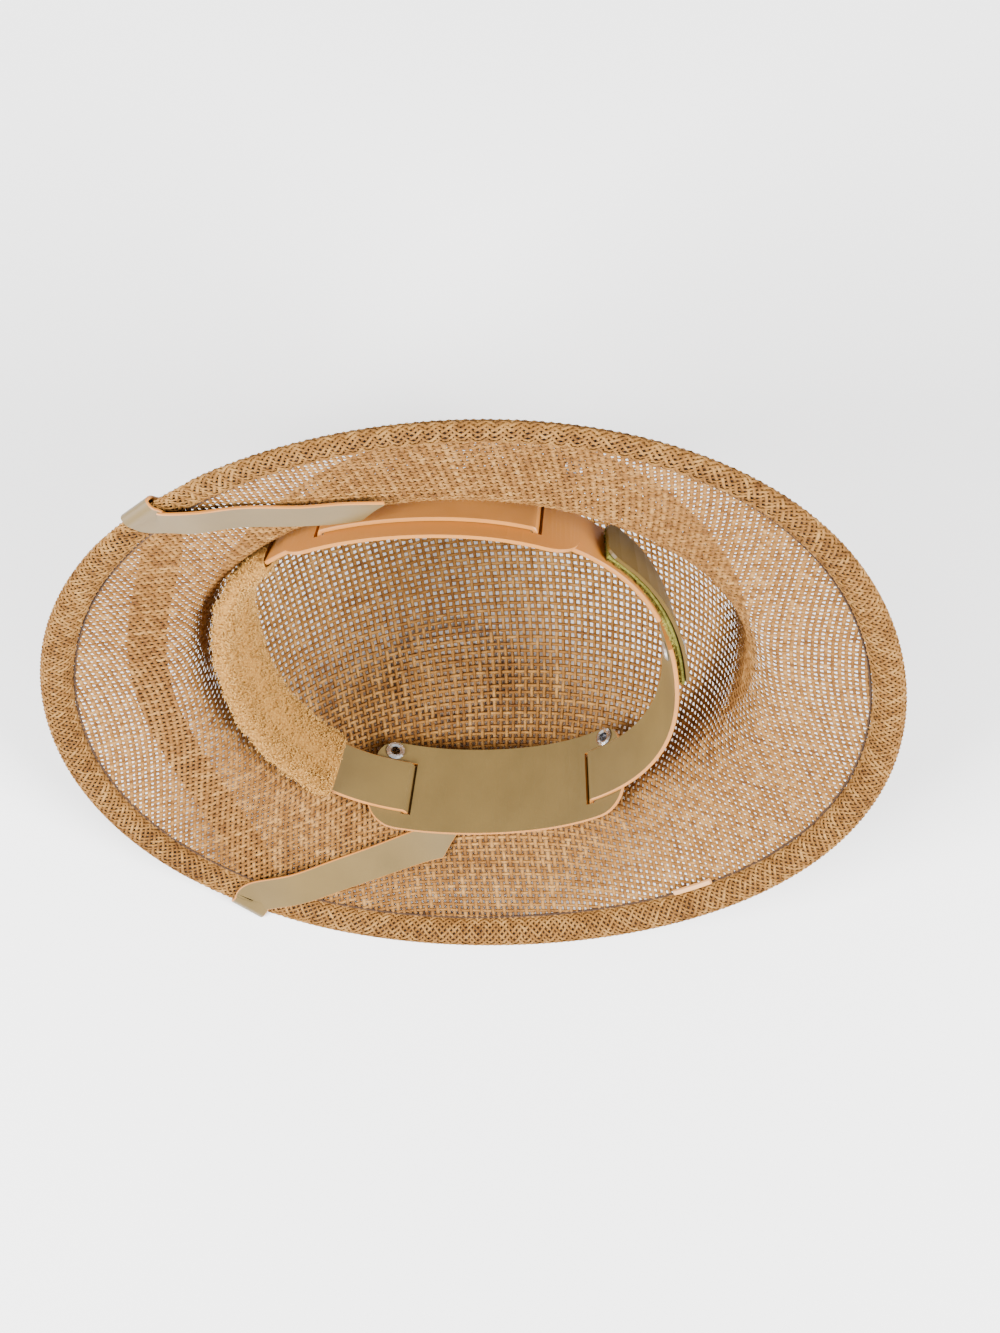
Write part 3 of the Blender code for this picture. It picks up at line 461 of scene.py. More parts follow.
def weave_family(wall, flat, keep, axis, rise):
    """Centre lines of the yarns that run along one axis of the cloth, over and under the others.

    Rings lie at the crossings and half way between. At a crossing the yarn stands off the wall by
    its rise, up or down by turns.
    """
    if axis == 0:
        flat, keep = flat.transpose(1, 0, 2), keep.T
    count = flat.shape[1]
    place = np.arange(2 * count - 1) / 2
    low = np.minimum(place.astype(int), count - 2)
    share = (place - low)[None, :, None]
    fine = flat[:, low] * (1 - share) + flat[:, low + 1] * share
    kept = keep[:, low] & keep[:, np.minimum(low + (place > low), count - 1)]
    point = wall.read(wall.points, fine)
    normal = unit(wall.read(wall.normals, fine))
    along = unit(np.gradient(point, axis=1))
    across = unit(np.cross(normal, along))
    yarns = np.arange(flat.shape[0])[:, None]
    wave = np.cos(math.pi * (place[None, :] + yarns)) * rise
    return fine, kept, point, wave, across, normal


def make_woven_wall(material):
    """The whole mesh: two families of yarn, each as a crown piece and a brim piece."""
    wall = Wall()
    flat, keep = lay_cloth(wall)
    rng = np.random.default_rng(7)
    drift = rng.normal(0.0, 1.0, flat.shape)
    for _ in range(2):
        drift = blurred(drift)
    flat = flat + drift * YARN_DRIFT
    pieces = []
    for axis, word in enumerate(("warp", "weft")):
        rise = YARN_RISE if axis == 0 else -YARN_RISE
        fine, kept, centre, wave, across, normal = weave_family(wall, flat, keep, axis, rise)
        beyond = wall.beyond_edge(fine)
        radius = np.hypot(fine[..., 0], fine[..., 1])
        tone = yarn_tones(rng, fine.shape[0])
        inside = kept & (beyond < 0.003)
        joined = inside[:, :-1] & inside[:, 1:]
        low = radius[:, :-1] < CROWN_REACH
        for name, part in (("crown_" + word, joined & low), ("brim_" + word, joined & ~low)):
            pieces.append(yarn_mesh(name, centre, wave, across, normal, part, tone, material))
    return pieces


# The rolled hem

def hem_frame(turn):
    """Centre of the hem's section, and its outward and upward directions, at each angle."""
    edge = hat_surface(turn, 3.0)
    outward = unit(edge - hat_surface(turn, 2.5))
    normal = surface_normal(turn, 2.9)
    return edge + outward * (HEM_WIDTH / 2 + 0.0003), outward, normal


def hem_half_thickness(turn):
    """Half thickness of the hem, drawn in by a smooth step where the chin strap goes round it."""
    share = np.zeros_like(turn)
    for degrees in PINCHES:
        away = np.degrees(np.abs((turn - math.radians(degrees) + math.pi) % (2.0 * math.pi) - math.pi))
        share = np.maximum(share, np.clip((PINCH_END - away) / (PINCH_END - PINCH_FLAT), 0.0, 1.0))
    return HEM_THICKNESS / 2 * (1.0 - PINCH_SHARE * share * share * (3.0 - 2.0 * share))


def hem_point(turn, around, inset):
    """Point and outward normal on the hem's oval section, a little inside its skin by inset."""
    centre, outward, normal = hem_frame(turn)
    half_width = HEM_WIDTH / 2 - inset
    half_thick = hem_half_thickness(turn) - inset
    wide, thick = half_width * np.cos(around), half_thick * np.sin(around)
    point = centre + outward * wide[..., None] + normal * thick[..., None]
    facing = (outward * (np.cos(around) * half_thick)[..., None]
              + normal * (np.sin(around) * half_width)[..., None])
    return point, unit(facing)


def make_hem_core(material):
    """Inner layers of the rolled hem: a closed oval ring just under the outer yarns."""
    turn = np.linspace(0.0, 2.0 * math.pi, HEM_RINGS, endpoint=False)[:, None]
    around = np.linspace(0.0, 2.0 * math.pi, HEM_SIDES, endpoint=False)[None, :]
    turn, around = np.broadcast_arrays(turn, around)
    laid = lay_above(hem_point(turn, around, HEM_CORE_INSET)[0], LOWEST_CORE)
    core = make_mesh("hem_core", laid.reshape(-1, 3), tube_quads(HEM_RINGS, HEM_SIDES, True), [material])
    add_layer(core, "hem", np.stack([turn, around, np.sin(around)], axis=-1).reshape(-1, 3))
    return core


def make_hem_yarns(material):
    """Outer layer of the hem: yarns that go round it on a slant both ways, over and under by turns.

    Both families are straight lines in the plane of turn and angle round the section, wound
    opposite ways, so that they cross in a diamond net that closes on itself.
    """
    rng = np.random.default_rng(11)
    pieces = []
    for word, way in (("left", 1), ("right", -1)):
        yarns = np.arange(HEM_TURNS)[:, None]
        rings = np.arange(2 * HEM_ROUND + 1)[None, :]
        around = rings * math.pi / HEM_ROUND + math.pi
        turn = (yarns + way * rings / 2) * 2.0 * math.pi / HEM_TURNS
        turn, around = np.broadcast_arrays(turn, around)
        point, facing = hem_point(turn, around, HEM_YARN_INSET)
        along = unit(np.gradient(point, axis=1))
        across = unit(np.cross(facing, along))
        wave = np.cos(math.pi * (rings / 2 + yarns)) * YARN_RISE * way
        joined = np.ones((HEM_TURNS, 2 * HEM_ROUND), bool)
        pieces.append(yarn_mesh("hem_yarn_" + word, point, wave, across, facing, joined,
                                yarn_tones(rng, HEM_TURNS), material, HEM_YARN_WIDTH))
    return pieces


def make_painted_fold_shade(material):
    """Painted shade in the fold where the brim turns into the hem: a thin dark tube along the hem's inner
    side, standing in for the shadow there.
    """
    turn = np.linspace(0.0, 2.0 * math.pi, HEM_RINGS, endpoint=False)
    edge, normal = hat_surface(turn, 2.992), surface_normal(turn, 2.9)
    outward = unit(hat_surface(turn, 3.0) - hat_surface(turn, 2.5))
    rings = [edge + outward * wide * FOLD_SHADE_WIDTH / 2 + normal * (0.0003 + high * 0.0003)
             for wide, high in ((1.0, 0.0), (0.0, 1.0), (-1.0, 0.0), (0.0, -1.0))]
    laid = lay_above(np.stack(rings, axis=1), LOWEST_YARN)
    return make_mesh("painted_fold_shade", laid.reshape(-1, 3), tube_quads(HEM_RINGS, 4, True), [material])


# Strips of vinyl

def band_lean(turn):
    """Inward lean of the band: one value at the ends and one for each side."""
    side = np.where(np.sin(turn) < 0.0, BAND_LEAN_RIGHT, BAND_LEAN_LEFT)
    return np.radians(side + (BAND_LEAN_END - side) * np.cos(turn) ** 2)


def band_oval(turn):
    """Base line of the band in plan: an oval, fuller between its axes, deeper on the lower side."""
    share = 1.0 + BAND_SQUARENESS * (1.0 - np.cos(4.0 * turn)) / 2
    half_width = np.where(np.sin(turn) < 0.0, BAND_HALF_RIGHT, BAND_HALF_LEFT)
    across = BAND_SHIFT + BAND_LENGTH / 2 * share * np.cos(turn)
    return np.stack([across, half_width * share * np.sin(turn), np.zeros_like(turn)], axis=-1)


def band_frame(turn, depth, offset):
    """Point, outward normal and deep-going direction of the band at an angle.

    A point goes down by depth along a line that leans inward from the base oval, and out by offset
    along the normal of that leaning surface.
    """
    turn, depth, offset = np.broadcast_arrays(np.asarray(turn, float), depth, offset)
    along = unit(band_oval(turn + 1e-4) - band_oval(turn - 1e-4))
    flat = np.stack([along[..., 1], -along[..., 0], np.zeros_like(turn)], axis=-1)
    lean = band_lean(turn)[..., None]
    up = np.array([0.0, 0.0, 1.0])
    down = -flat * np.sin(lean) - up * np.cos(lean)
    outward = flat * np.cos(lean) - up * np.sin(lean)
    return band_oval(turn) + down * depth[..., None] + outward * offset[..., None], outward, down


TURN_TABLE = np.linspace(-2.0 * math.pi, 4.0 * math.pi, 3601)
ARC_TABLE = np.append(0.0, np.cumsum(np.linalg.norm(np.diff(band_oval(TURN_TABLE), axis=0), axis=1)))


def arc_at(degrees):
    """Distance along the base oval at an angle in degrees."""
    return np.interp(math.radians(degrees), TURN_TABLE, ARC_TABLE)


def turn_at(arc):
    """Angle on the base oval at a distance along it."""
    return np.interp(arc, ARC_TABLE, TURN_TABLE)


PLATE_MIDDLES = {"left": arc_at(90.0) - PLATE_SHIFT, "right": arc_at(270.0) + PLATE_SHIFT}
STRIP_OFFSET = PLATE_THICKNESS / 2 + GAP + BAND_THICKNESS / 2
STRIP_MIDDLE = STRIP_BELOW_THROAT + STRIP_WIDTH / 2
PILE_OFFSET = -STRIP_OFFSET + BAND_THICKNESS / 2 + GAP + PILE_THICKNESS / 2


def strip_offset(arc):
    """The strip runs inside the plates but outside them between their two slits."""
    offset = np.full_like(arc, -STRIP_OFFSET)
    for middle in PLATE_MIDDLES.values():
        away = np.abs(arc - middle) - SLIT_SPACING / 2
        share = np.clip(0.5 - away / SLIT_CROSSING, 0.0, 1.0)
        offset = offset + 2.0 * STRIP_OFFSET * share * share * (3.0 - 2.0 * share)
    return offset


def ribbon_mesh(name, centre, across, facing, width, thickness, face, edge, back):
    """Closed flat strip with cut corners, with a material each for its facing side, edges and back.

    centre, across and facing are rings by three. width is one value or one for each ring.
    """
    rings = len(centre)
    cut = thickness * 0.24
    half, thick = np.broadcast_to(width, rings) / 2, thickness / 2
    wide = np.stack([half - cut, half, half, half - cut, cut - half, -half, -half, cut - half], axis=1)
    high = np.array([thick, thick - cut, cut - thick, -thick, -thick, cut - thick, thick - cut, thick])
    points = centre[:, None] + across[:, None] * wide[..., None] + facing[:, None] * high[None, :, None]
    ends = [list(range(8)), [(rings - 1) * 8 + side for side in reversed(range(8))]]
    faces = [quad[::-1] for quad in tube_quads(rings, 8)] + ends
    sides = np.append(np.tile(np.arange(8), rings - 1), [0, 0])
    indices = np.where(sides == 7, 0, np.where(sides == 3, 2, 1))
    thing = make_mesh(name, lay_above(points).reshape(-1, 3), faces, [face, edge, back], indices)
    thing.data.set_sharp_from_angle(angle=math.radians(32.0))
    return thing


def band_strip(name, start, end, offset, width, thickness, *materials):
    """A strip that follows the band in small steps, its facing side towards the head."""
    arcs = np.linspace(start, end, int((end - start) / STRIP_STEP))
    centre, outward, down = band_frame(turn_at(arcs), STRIP_MIDDLE, offset(arcs))
    bend = np.gradient(offset(arcs), arcs)[:, None]
    along = unit(np.gradient(centre, axis=0))
    facing = unit(-outward + along * (outward * along).sum(-1, keepdims=True)) if bend.any() else -outward
    return ribbon_mesh(name, centre, down, facing, width, thickness, *materials)


def make_head_band(face, back):
    """The adjusting strip, once round the head from its left end to past its right one."""
    start, end = arc_at(STRIP_END_LEFT), arc_at(360.0 + STRIP_END_RIGHT)
    return band_strip("adjusting_strip", start, end, strip_offset, STRIP_WIDTH, BAND_THICKNESS,
                      face, back, back)


# Chin strap: angle in degrees, run on the woven wall, side of the wall (1 inside, -1 outside)

STRAP_NEAR = ((-99.0, 1.76, 1), (-105.5, 1.83, 1), (-112.5, 2.17, 1), (-120.0, 2.53, 1), (-125.5, 2.84, 1))
STRAP_FRONT = ((-134.0, 2.82, -1), (-142.0, 2.50, -1), (-154.0, 2.27, -1), (-168.0, 2.16, -1),
               (-182.0, 2.13, -1), (-198.0, 2.18, -1), (-212.0, 2.30, -1), (-222.0, 2.52, -1),
               (-229.5, 2.84, -1))
STRAP_FAR = ((-238.0, 2.92, 1), (-243.5, 2.50, 1), (-249.0, 2.12, 1), (-256.0, 1.94, 1), (-264.0, 1.80, 1))


def strap_on_wall(degrees, run, side):
    """Centre of the strap over a place on the wall, and the wall's normal on that side."""
    turn, run = np.array(math.radians(degrees)), np.array(run)
    normal = surface_normal(turn, run) * side
    wall = HEM_THICKNESS if run > 2.8 else WEAVE_THICKNESS
    return hat_surface(turn, run) + normal * (wall / 2 + STRAP_SPARE + STRAP_THICKNESS / 2), normal


def strap_round_hem(degrees, start_side):
    """Centres and normals of the strap round the outside of the hem, from one side to the other."""
    turn = np.array(math.radians(degrees))
    centre, outward, normal = hem_frame(turn)
    thickness = 2.0 * float(hem_half_thickness(turn))
    route = []
    for angle in np.radians(HEM_WRAP) * start_side:
        spare = STRAP_SPARE_AT_HEM + (STRAP_SPARE - STRAP_SPARE_AT_HEM) * math.cos(angle) ** 2
        point = centre + outward * HEM_WIDTH / 2 * math.cos(angle) + normal * thickness / 2 * math.sin(angle)
        facing = unit(outward * math.cos(angle) / HEM_WIDTH + normal * math.sin(angle) / thickness)
        route.append((point + facing * (spare + STRAP_THICKNESS / 2), facing))
    return route


def smooth_through(points, steps):
    """Catmull-Rom curve through points, with the same number of steps between each two."""
    ends = np.concatenate([[2 * points[0] - points[1]], points, [2 * points[-1] - points[-2]]])
    share = np.linspace(0.0, 1.0, steps, endpoint=False)[:, None]
    pieces = []
    for index in range(len(points) - 1):
        pieces.append(curve_through(*ends[index:index + 4], share))
    return np.concatenate(pieces + [points[-1:]])


def make_chin_strap(face, edge, back):
    """The strap along its whole route, from behind one side plate round the front to behind the other.

    Away from the hem its line is eased, each point being drawn to the middle of its neighbours. Its
    ends taper to tips behind the plates.
    """
    route = [strap_on_wall(*row) for row in STRAP_NEAR] + strap_round_hem(PINCHES[0], 1)
    route += [strap_on_wall(*row) for row in STRAP_FRONT] + strap_round_hem(PINCHES[1], -1)
    route += [strap_on_wall(*row) for row in STRAP_FAR]
    centre = smooth_through(np.array([point for point, _ in route]), STRAP_STEPS)
    normal = smooth_through(np.array([facing for _, facing in route]), STRAP_STEPS)
    places = np.arange(len(centre)) / STRAP_STEPS
    first = len(STRAP_NEAR) + len(HEM_WRAP) // 2
    second = first + len(HEM_WRAP) + len(STRAP_FRONT)
    from_rim = np.minimum(np.abs(places - first), np.abs(places - second))
    on_wall = np.clip((from_rim - 4.5) / 1.5, 0.0, 1.0)
    for _ in range(STRAP_EASING):
        eased = (centre[2:] + centre[:-2]) / 2 - centre[1:-1]
        centre[1:-1] += 0.5 * eased * on_wall[1:-1, None]
    along = unit(np.gradient(centre, axis=0))
    normal = unit(normal - along * (normal * along).sum(-1, keepdims=True))
    run = np.append(0.0, np.cumsum(np.linalg.norm(np.diff(centre, axis=0), axis=1)))
    tuck = np.clip(np.minimum(run, run[-1] - run) / STRAP_TUCK, 0.0, 1.0)
    width = STRAP_WIDTH * (STRAP_TIP_SHARE + (1.0 - STRAP_TIP_SHARE) * tuck)
    across = np.cross(along, normal)
    across = across * np.where((across @ SPIN.T)[:, 1:2] < 0.0, -1.0, 1.0)
    centre = centre + across * ((STRAP_WIDTH - width) / 2)[:, None]
    return ribbon_mesh("chin_strap_ribbon", centre, np.cross(along, normal), normal, width, STRAP_THICKNESS,
                       face, edge, back)


# Looped cloth: towelling pad and hook-and-loop pile

def value_noise(rng, rows, columns, smooth):
    """Random values on a grid, smoothed by a few passes and brought back to a spread of one."""
    values = rng.normal(0.0, 1.0, (rows, columns))
    for _ in range(smooth):
        values = blurred(values)
    return values / values.std()


def loop_tufts(name, rng, base, normal, height, width, material):
    """Small loops of thread standing on a surface: an arch of five points, each a flat three-sided band."""
    count = len(base)
    spin = unit(np.cross(normal, rng.normal(0.0, 1.0, (count, 3))))
    tall = height * rng.uniform(0.6, 1.25, (count, 1, 1))
    angle = np.linspace(0.0, math.pi, LOOP_POINTS)[None, :, None]
    lean = unit(rng.normal(0.0, 1.0, (count, 3)))[:, None] * tall * 0.45 * np.sin(angle)
    arch = base[:, None] + spin[:, None] * np.cos(angle) * height * 0.45
    arch = arch + normal[:, None] * tall * np.sin(angle) + lean
    side = unit(np.cross(spin, normal))[:, None] * width / 2
    out = normal[:, None] * width / 2
    verts = lay_above(np.stack([arch + side - out, arch - side - out, arch + out], axis=2))
    in_loop = LOOP_POINTS * 3
    quads = np.array(tube_quads(LOOP_POINTS, 3))[None] + (np.arange(count) * in_loop)[:, None, None]
    tufts = make_mesh(name, verts.reshape(-1, 3), quads.reshape(-1, 4).tolist(), [material])
    add_layer(tufts, "tone", np.repeat(rng.uniform(0.0, 1.0, count), in_loop))
    return tufts


def pad_surface(arcs, around, start, end):
    """Outer skin of the pad: a rounded oblong sleeve round the strip, puffed by three slanting waves."""
    centre, outward, down = band_frame(turn_at(arcs), STRIP_MIDDLE, -STRIP_OFFSET)
    share = (arcs - start) / (end - start)
    puff = 0.45 * np.sin(share * 33.0 + 1.3 * np.sin(around * 2.0 + share * 9.0))
    puff = puff + 0.35 * np.sin(share * 58.0 + around * 3.0)
    puff = puff + 0.5 * np.sin(share * 17.0 - around)
    full = np.clip(np.minimum(share, 1.0 - share) / 0.035, 0.0, 1.0)
    swell = (0.25 + 0.75 * np.sqrt(full * (2.0 - full))) * PAD_WALL
    half_width = STRIP_WIDTH / 2 + PAD_SPARE + swell * 0.9 + puff * 0.00035
    half_thick = BAND_THICKNESS / 2 + PAD_SPARE + swell * (1.0 + 0.22 * puff)
    wide = np.sign(np.cos(around)) * np.abs(np.cos(around)) ** 0.55 * half_width
    thick = np.sign(np.sin(around)) * np.abs(np.sin(around)) ** 0.7 * half_thick
    facing = (down * (np.cos(around) * half_thick)[..., None]
              + outward * (np.sin(around) * half_width)[..., None])
    return centre + down * wide[..., None] + outward * thick[..., None], unit(facing)


def make_sweat_pad(material, thread):
    """Towelling sleeve: a wrinkled body with a rough skin, and loops of thread all over it."""
    rng = np.random.default_rng(21)
    start, end = arc_at(PAD_START), arc_at(PAD_END)
    arcs, around = np.meshgrid(np.linspace(start, end, PAD_ROWS),
                               np.arange(PAD_SIDES) * 2.0 * math.pi / PAD_SIDES, indexing='ij')
    point, facing = pad_surface(arcs, around, start, end)
    rough = value_noise(rng, PAD_ROWS, PAD_SIDES, 1) * 0.00014
    rough = rough + value_noise(rng, PAD_ROWS, PAD_SIDES, 7) * 0.00016
    ends = [list(range(PAD_SIDES)), list(range((PAD_ROWS - 1) * PAD_SIDES, PAD_ROWS * PAD_SIDES))]
    body = make_mesh("towelling_body", lay(point + facing * rough[..., None]).reshape(-1, 3),
                     tube_quads(PAD_ROWS, PAD_SIDES) + ends, [material])
    arcs = rng.uniform(start + 0.0006, end - 0.0006, PAD_LOOPS)
    around = rng.uniform(0.0, 2.0 * math.pi, PAD_LOOPS)
    around[::3] = rng.normal(-math.pi / 2, 0.5, len(around[::3]))
    point, facing = pad_surface(arcs, around, start, end)
    return body, loop_tufts("towelling_loops", rng, point, facing, 0.0011, 0.00034, thread)


def make_loop_pile(material, thread):
    """Backing slab of the hook-and-loop pile with its loops, between the strip's end and the tab."""
    rng = np.random.default_rng(31)
    inset = (TAB_WIDTH - PILE_WIDTH) / 2
    rivet = arc_at(STRIP_END_RIGHT) - RIVET_FROM_STRIP_END
    start, end = rivet - TAB_TAIL + inset, PLATE_MIDDLES["left"] - PLATE_LENGTH / 2 - TAB_FROM_PLATE - inset
    level = PILE_OFFSET + PILE_THICKNESS * 0.17
    slab = band_strip("pile_backing", start, end, lambda arcs: np.full_like(arcs, level), PILE_WIDTH,
                      PILE_THICKNESS * 0.62, material, material, material)
    arcs = rng.uniform(start + 0.0005, end - 0.0005, PILE_LOOPS)
    depth = STRIP_MIDDLE + rng.uniform(-0.48, 0.48, PILE_LOOPS) * PILE_WIDTH
    point, outward, _ = band_frame(turn_at(arcs), depth, level - PILE_THICKNESS * 0.30)
    return slab, loop_tufts("pile_loops", rng, point, -outward, 0.0012, 0.00026, thread)


# Materials

def new_material(name, colour, roughness=0.6, metallic=0.0, **sockets):
    """A Principled material with plain values on the shader's own sockets."""
    material = bpy.data.materials.new(name)
    material.use_nodes = True
    shader = material.node_tree.nodes["Principled BSDF"]
    shader.inputs["Base Color"].default_value = (*colour, 1.0)
    shader.inputs["Roughness"].default_value = roughness
    shader.inputs["Metallic"].default_value = metallic
    for word, value in sockets.items():
        shader.inputs[word.replace("_", " ")].default_value = value
    return material


def add_node(tree, kind, inputs=None, **settings):
    """A shader node with its settings, and with its inputs linked where a socket is given."""
    node = tree.nodes.new(kind)
    for word, value in settings.items():
        setattr(node, word, value)
    for socket, value in (inputs or {}).items():
        if isinstance(value, bpy.types.NodeSocket):
            tree.links.new(value, node.inputs[socket])
        else:
            node.inputs[socket].default_value = value
    return node


def math_node(tree, operation, *values):
    """Result of a sum on numbers or sockets."""
    return add_node(tree, "ShaderNodeMath", dict(enumerate(values)), operation=operation).outputs[0]


def vector_node(tree, operation, *values, output=0):
    """Result of a sum on vectors or sockets, which is a vector unless output says another."""
    node = add_node(tree, "ShaderNodeVectorMath", dict(enumerate(values)), operation=operation)
    return node.outputs[output]


def noise_node(tree, place, scale, detail):
    """Cloudy values from 0 to 1, finer where scale is larger."""
    node = add_node(tree, "ShaderNodeTexNoise", {"Vector": place, "Scale": scale, "Detail": detail})
    return node.outputs["Fac"]


def object_place(tree):
    """Place in the object's own coordinates."""
    return add_node(tree, "ShaderNodeTexCoord").outputs["Object"]


def layer_parts(tree, name):
    """The three values of a stored layer, as sockets."""
    layer = add_node(tree, "ShaderNodeAttribute", attribute_name=name)
    return add_node(tree, "ShaderNodeSeparateXYZ", {"Vector": layer.outputs["Vector"]}).outputs


def colour_ramp(tree, factor, stops):
    """Colours blended between stops, each a place from 0 to 1 and its colour."""
    ramp = add_node(tree, "ShaderNodeValToRGB", {"Fac": factor})
    elements = ramp.color_ramp.elements
    while len(elements) < len(stops):
        elements.new(0.5)
    for element, (place, colour) in zip(elements, stops):
        element.position = place
        element.color = (*colour, 1.0)
    return ramp.outputs["Color"]


def coat(material, colour, height, strength, distance):
    """Gives the material's shader a colour and a bump from a height."""
    tree = material.node_tree
    shader = tree.nodes["Principled BSDF"]
    tree.links.new(colour, shader.inputs["Base Color"])
    bump = add_node(tree, "ShaderNodeBump", {"Height": height, "Strength": strength, "Distance": distance})
    tree.links.new(bump.outputs["Normal"], shader.inputs["Normal"])
    return material


def yarn_material(name, dark, middle, light):
    """Twisted paper yarn: a tone for each yarn, blotches along it and fine slanting twist lines."""
    material = new_material(name, middle, 0.8, Specular_IOR_Level=0.15)
    tree = material.node_tree
    along, around, tone = layer_parts(tree, "yarn")
    place = object_place(tree)
    blotch = noise_node(tree, place, 260.0, 3.0)
    patch = noise_node(tree, place, 22.0, 1.0)
    mixed = math_node(tree, 'ADD', blotch, math_node(tree, 'MULTIPLY', tone, 0.13))
    total = math_node(tree, 'ADD', mixed, math_node(tree, 'MULTIPLY', patch, 0.16))
    colour = colour_ramp(tree, total, ((0.20, dark), (0.57, middle), (0.88, light)))
    turns = math_node(tree, 'ADD', math_node(tree, 'MULTIPLY', along, TWISTS_PER_METRE), around)
    ridge = math_node(tree, 'SINE', math_node(tree, 'MULTIPLY', turns, 2.0 * math.pi))
    return coat(material, colour, ridge, 0.25, 0.0002)


def grained_material(name, colour, roughness, **sockets):
    """Soft plastic: slight clouding of the colour and a fine pebbled bump."""
    material = new_material(name, colour, roughness, **sockets)
    tree = material.node_tree
    place = object_place(tree)
    darker = tuple(value * (1.0 - CLOUD_SPREAD) for value in colour)
    lighter = tuple(min(1.0, value * (1.0 + CLOUD_SPREAD)) for value in colour)
    cloud = colour_ramp(tree, noise_node(tree, place, 45.0, 4.0), ((0.3, darker), (0.7, lighter)))
    return coat(material, cloud, noise_node(tree, place, 900.0, 2.0), 0.5, 0.00004)


def hem_inner_material(name, dark, light):
    """Inner layers of the hem: a finer net of yarns seen between the outer ones, the yarn colour darkened
    with painted shade for the shadow inside the roll.
    """
    material = new_material(name, light, 0.85)
    tree = material.node_tree
    turn, around, _ = layer_parts(tree, "hem")
    turns = math_node(tree, 'MULTIPLY', turn, float(HEM_TURNS))
    rounds = [math_node(tree, 'MULTIPLY', around, sign * HEM_ROUND) for sign in (1.0, -1.0)]
    yarn = math_node(tree, 'MAXIMUM', *(math_node(tree, 'SINE', math_node(tree, 'ADD', turns, wound))
                                        for wound in rounds))
    return coat(material, colour_ramp(tree, yarn, ((0.05, dark), (0.65, light))), yarn, 0.8, 0.0005)


def looped_material(name, dark, light, layer=None):
    """Looped cloth: mottled by a fine noise, and by a tone for each loop where there is one."""
    material = new_material(name, light, 0.95, Specular_IOR_Level=0.1)
    tree = material.node_tree
    speck = noise_node(tree, object_place(tree), 1100.0, 2.0)
    if layer:
        tone = add_node(tree, "ShaderNodeAttribute", attribute_name=layer).outputs["Fac"]
        speck = math_node(tree, 'ADD', speck, math_node(tree, 'MULTIPLY', tone, 0.35))
    return coat(material, colour_ramp(tree, speck, ((0.30, dark), (0.68, light))), speck, 0.9, 0.0004)


def two_tone_material(name, face, back, middle):
    """Vinyl sheet with one colour on the side towards the head and another outside and on its edges.

    A face looks to the head where its normal points to the middle of the band.
    """
    material = grained_material(name, face, 0.42)
    tree = material.node_tree
    shader = tree.nodes["Principled BSDF"]
    inner = shader.inputs["Base Color"].links[0].from_socket
    coordinates = add_node(tree, "ShaderNodeTexCoord").outputs
    away = vector_node(tree, 'NORMALIZE', vector_node(tree, 'SUBTRACT', coordinates["Object"], middle))
    facing = vector_node(tree, 'DOT_PRODUCT', coordinates["Normal"], away, output="Value")
    outside = add_node(tree, "ShaderNodeMapRange", {"Value": facing, "From Min": -0.55, "From Max": -0.45})
    mix = add_node(tree, "ShaderNodeMix", data_type='RGBA')
    tree.links.new(outside.outputs["Result"], mix.inputs["Factor"])
    first, second, mixed = mix.inputs[6], mix.inputs[7], mix.outputs[2]  # the colour ones of a Mix node
    tree.links.new(inner, first)
    second.default_value = (*back, 1.0)
    tree.links.new(mixed, shader.inputs["Base Color"])
    return material


# Darker and more saturated than the real colours, because the renderer's view transform pales them
KHAKI_COLOUR = (0.125, 0.082, 0.026)
PEACH_COLOUR = (0.430, 0.165, 0.026)
STRAW = yarn_material("paper_yarn", (0.080, 0.027, 0.006), (0.210, 0.092, 0.020), (0.360, 0.190, 0.058))
STRAW_HEM = yarn_material("paper_yarn_hem", (0.064, 0.022, 0.004), (0.200, 0.089, 0.019),
                          (0.340, 0.180, 0.052))
# Inner layers of the hem: paper yarn darkened with painted shade, for the shadow inside the roll
SHADED_CORE = hem_inner_material("hem_inner_layers_shaded", (0.010, 0.004, 0.001), (0.090, 0.034, 0.008))
# Painted shade: the near-black brown of the thin tube in the hem's fold
FOLD_SHADE = grained_material("painted_hem_fold_shade", (0.040, 0.016, 0.004), 0.9)
# Back of the chin strap: brown vinyl darkened with painted shade, for the shadow of the brim's mesh on it
STRAP_BACK_SHADED = grained_material("strap_back_painted_shade", (0.050, 0.022, 0.007), 0.6)
KHAKI = grained_material("khaki_vinyl_face", KHAKI_COLOUR, 0.42)
PEACH = grained_material("peach_vinyl_back", PEACH_COLOUR, 0.45)
BAND_MIDDLE = tuple(float(value) for value in lay([BAND_SHIFT, 0.0, -STRIP_MIDDLE]))
PLATE = two_tone_material("side_plate_vinyl", KHAKI_COLOUR, PEACH_COLOUR, BAND_MIDDLE)
OLIVE = grained_material("olive_vinyl", (0.085, 0.048, 0.006), 0.5, Specular_IOR_Level=0.3)
PILE = looped_material("pile_backing", (0.070, 0.066, 0.010), (0.190, 0.172, 0.032))
PILE_THREAD = looped_material("pile_thread", (0.110, 0.098, 0.016), (0.300, 0.255, 0.052), "tone")
TERRY = looped_material("terry_body", (0.20, 0.085, 0.016), (0.42, 0.215, 0.050))
TERRY_THREAD = looped_material("terry_thread", (0.28, 0.130, 0.030), (0.56, 0.310, 0.085), "tone")
CHROME = new_material("bright_plating", (0.80, 0.80, 0.82), 0.18, 1.0)
STEEL = new_material("satin_plating", (0.86, 0.83, 0.78), 0.30, 1.0)
REED = grained_material("bare_reed", (0.60, 0.30, 0.11), 0.6)


# The pieces

def finish_piece(thing, slot_name, *nodes):
    """Ties a piece to its body and hides the CAD nodes that it stands in for; the slot name is not used."""
    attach(thing, "root")
    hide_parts(*nodes)


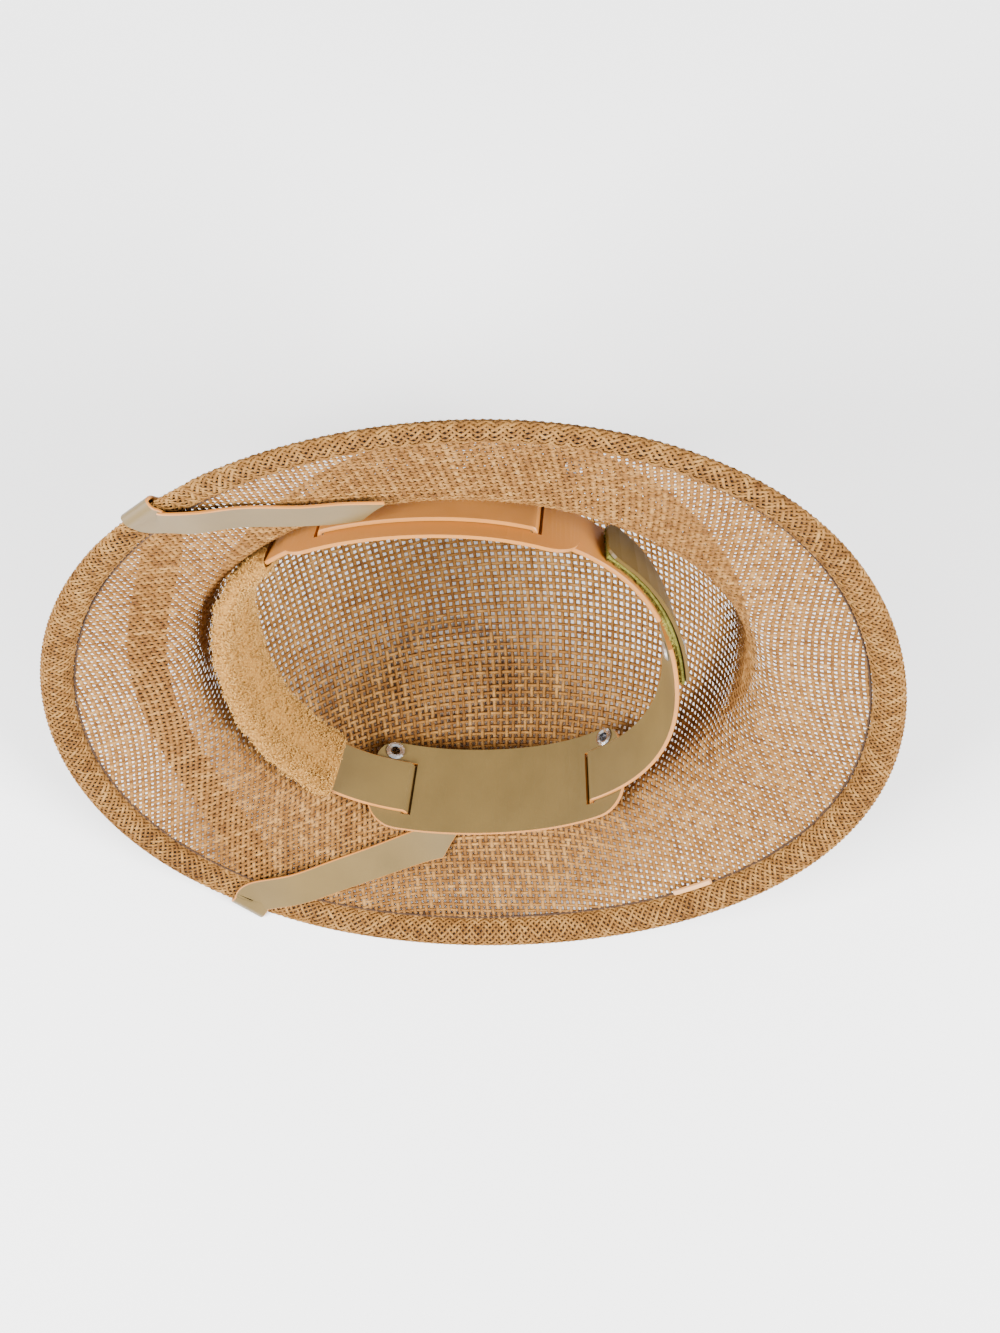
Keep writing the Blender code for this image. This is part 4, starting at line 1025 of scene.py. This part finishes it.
for piece in make_woven_wall(STRAW):
    finish_piece(piece, "woven_straw", "woven_body")
for piece in [make_hem_core(SHADED_CORE), make_painted_fold_shade(FOLD_SHADE)] + make_hem_yarns(STRAW_HEM):
    finish_piece(piece, "woven_straw_hem", "rolled_hem")
finish_piece(make_head_band(KHAKI, PEACH), "khaki_vinyl", "head_band")
finish_piece(make_chin_strap(KHAKI, PEACH, STRAP_BACK_SHADED), "khaki_vinyl_strap", "chin_strap")
pad_body, pad_loops = make_sweat_pad(TERRY, TERRY_THREAD)
for piece in (pad_body, pad_loops):
    finish_piece(piece, "towelling", "sweat_pad")
for piece in make_loop_pile(PILE, PILE_THREAD):
    finish_piece(piece, "green_loops", "loop_pile")

NODE_FINISH = {
    "side_plate_left": PLATE, "side_plate_right": PLATE, "closure_tab": OLIVE, "closure_rivet": STEEL,
    "rim_reed": REED, "eyelet_left_front": CHROME, "eyelet_left_rear": CHROME,
    "eyelet_right_front": CHROME, "eyelet_right_rear": CHROME,
}
for node_name, material in NODE_FINISH.items():
    for material_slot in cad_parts[node_name].material_slots:
        material_slot.link = 'OBJECT'
        material_slot.material = material


# Floor, light and camera

def floor_material():
    """White, with a soft warm contact shade under the crown and the lower brim, within the hat's outline."""
    material = new_material("pale_floor", FLOOR_COLOUR, 0.7)
    tree = material.node_tree
    away = vector_node(tree, 'SUBTRACT', object_place(tree), SHADE_MIDDLE)
    radius = vector_node(tree, 'LENGTH', vector_node(tree, 'DIVIDE', away, SHADE_REACH), output="Value")
    colour = colour_ramp(tree, radius, ((0.58, SHADE_COLOUR), (0.95, FLOOR_COLOUR)))
    tree.links.new(colour, tree.nodes["Principled BSDF"].inputs["Base Color"])
    return material


def make_floor():
    """One large level square at the height of nought."""
    verts = np.array([[-1, -1, 0], [1, -1, 0], [1, 1, 0], [-1, 1, 0]]) * FLOOR_HALF
    make_mesh("floor", verts, [[0, 1, 2, 3]], [floor_material()])


def make_lamp(name, place, power):
    """A square area lamp that looks at the hat."""
    lamp = bpy.data.lights.new(name, 'AREA')
    lamp.shape = 'RECTANGLE'
    lamp.size = lamp.size_y = LAMP_SIZE
    lamp.energy = power
    thing = bpy.data.objects.new(name, lamp)
    thing.location = place
    thing.rotation_euler = (Vector(LAMP_TARGET) - Vector(place)).to_track_quat('-Z', 'Y').to_euler()
    bpy.context.scene.collection.objects.link(thing)


def make_studio():
    """Floor, white surround, two lamps and the camera that looks straight down."""
    make_floor()
    world = bpy.data.worlds.new("white_surround")
    world.use_nodes = True
    world.node_tree.nodes["Background"].inputs["Color"].default_value = (1.0, 1.0, 1.0, 1.0)
    world.node_tree.nodes["Background"].inputs["Strength"].default_value = WORLD_STRENGTH
    bpy.context.scene.world = world
    for lamp in LAMPS:
        make_lamp(*lamp)
    camera = bpy.data.cameras.new("camera")
    camera.sensor_fit = 'VERTICAL'
    camera.sensor_height = 36.0
    camera.lens = LENS
    camera.clip_start = 0.01
    thing = bpy.data.objects.new("camera", camera)
    thing.location = (CAMERA_PLACE[0] - SHIFT[0], CAMERA_PLACE[1] - SHIFT[1], CAMERA_HEIGHT)
    bpy.context.scene.collection.objects.link(thing)
    bpy.context.scene.camera = thing


make_studio()
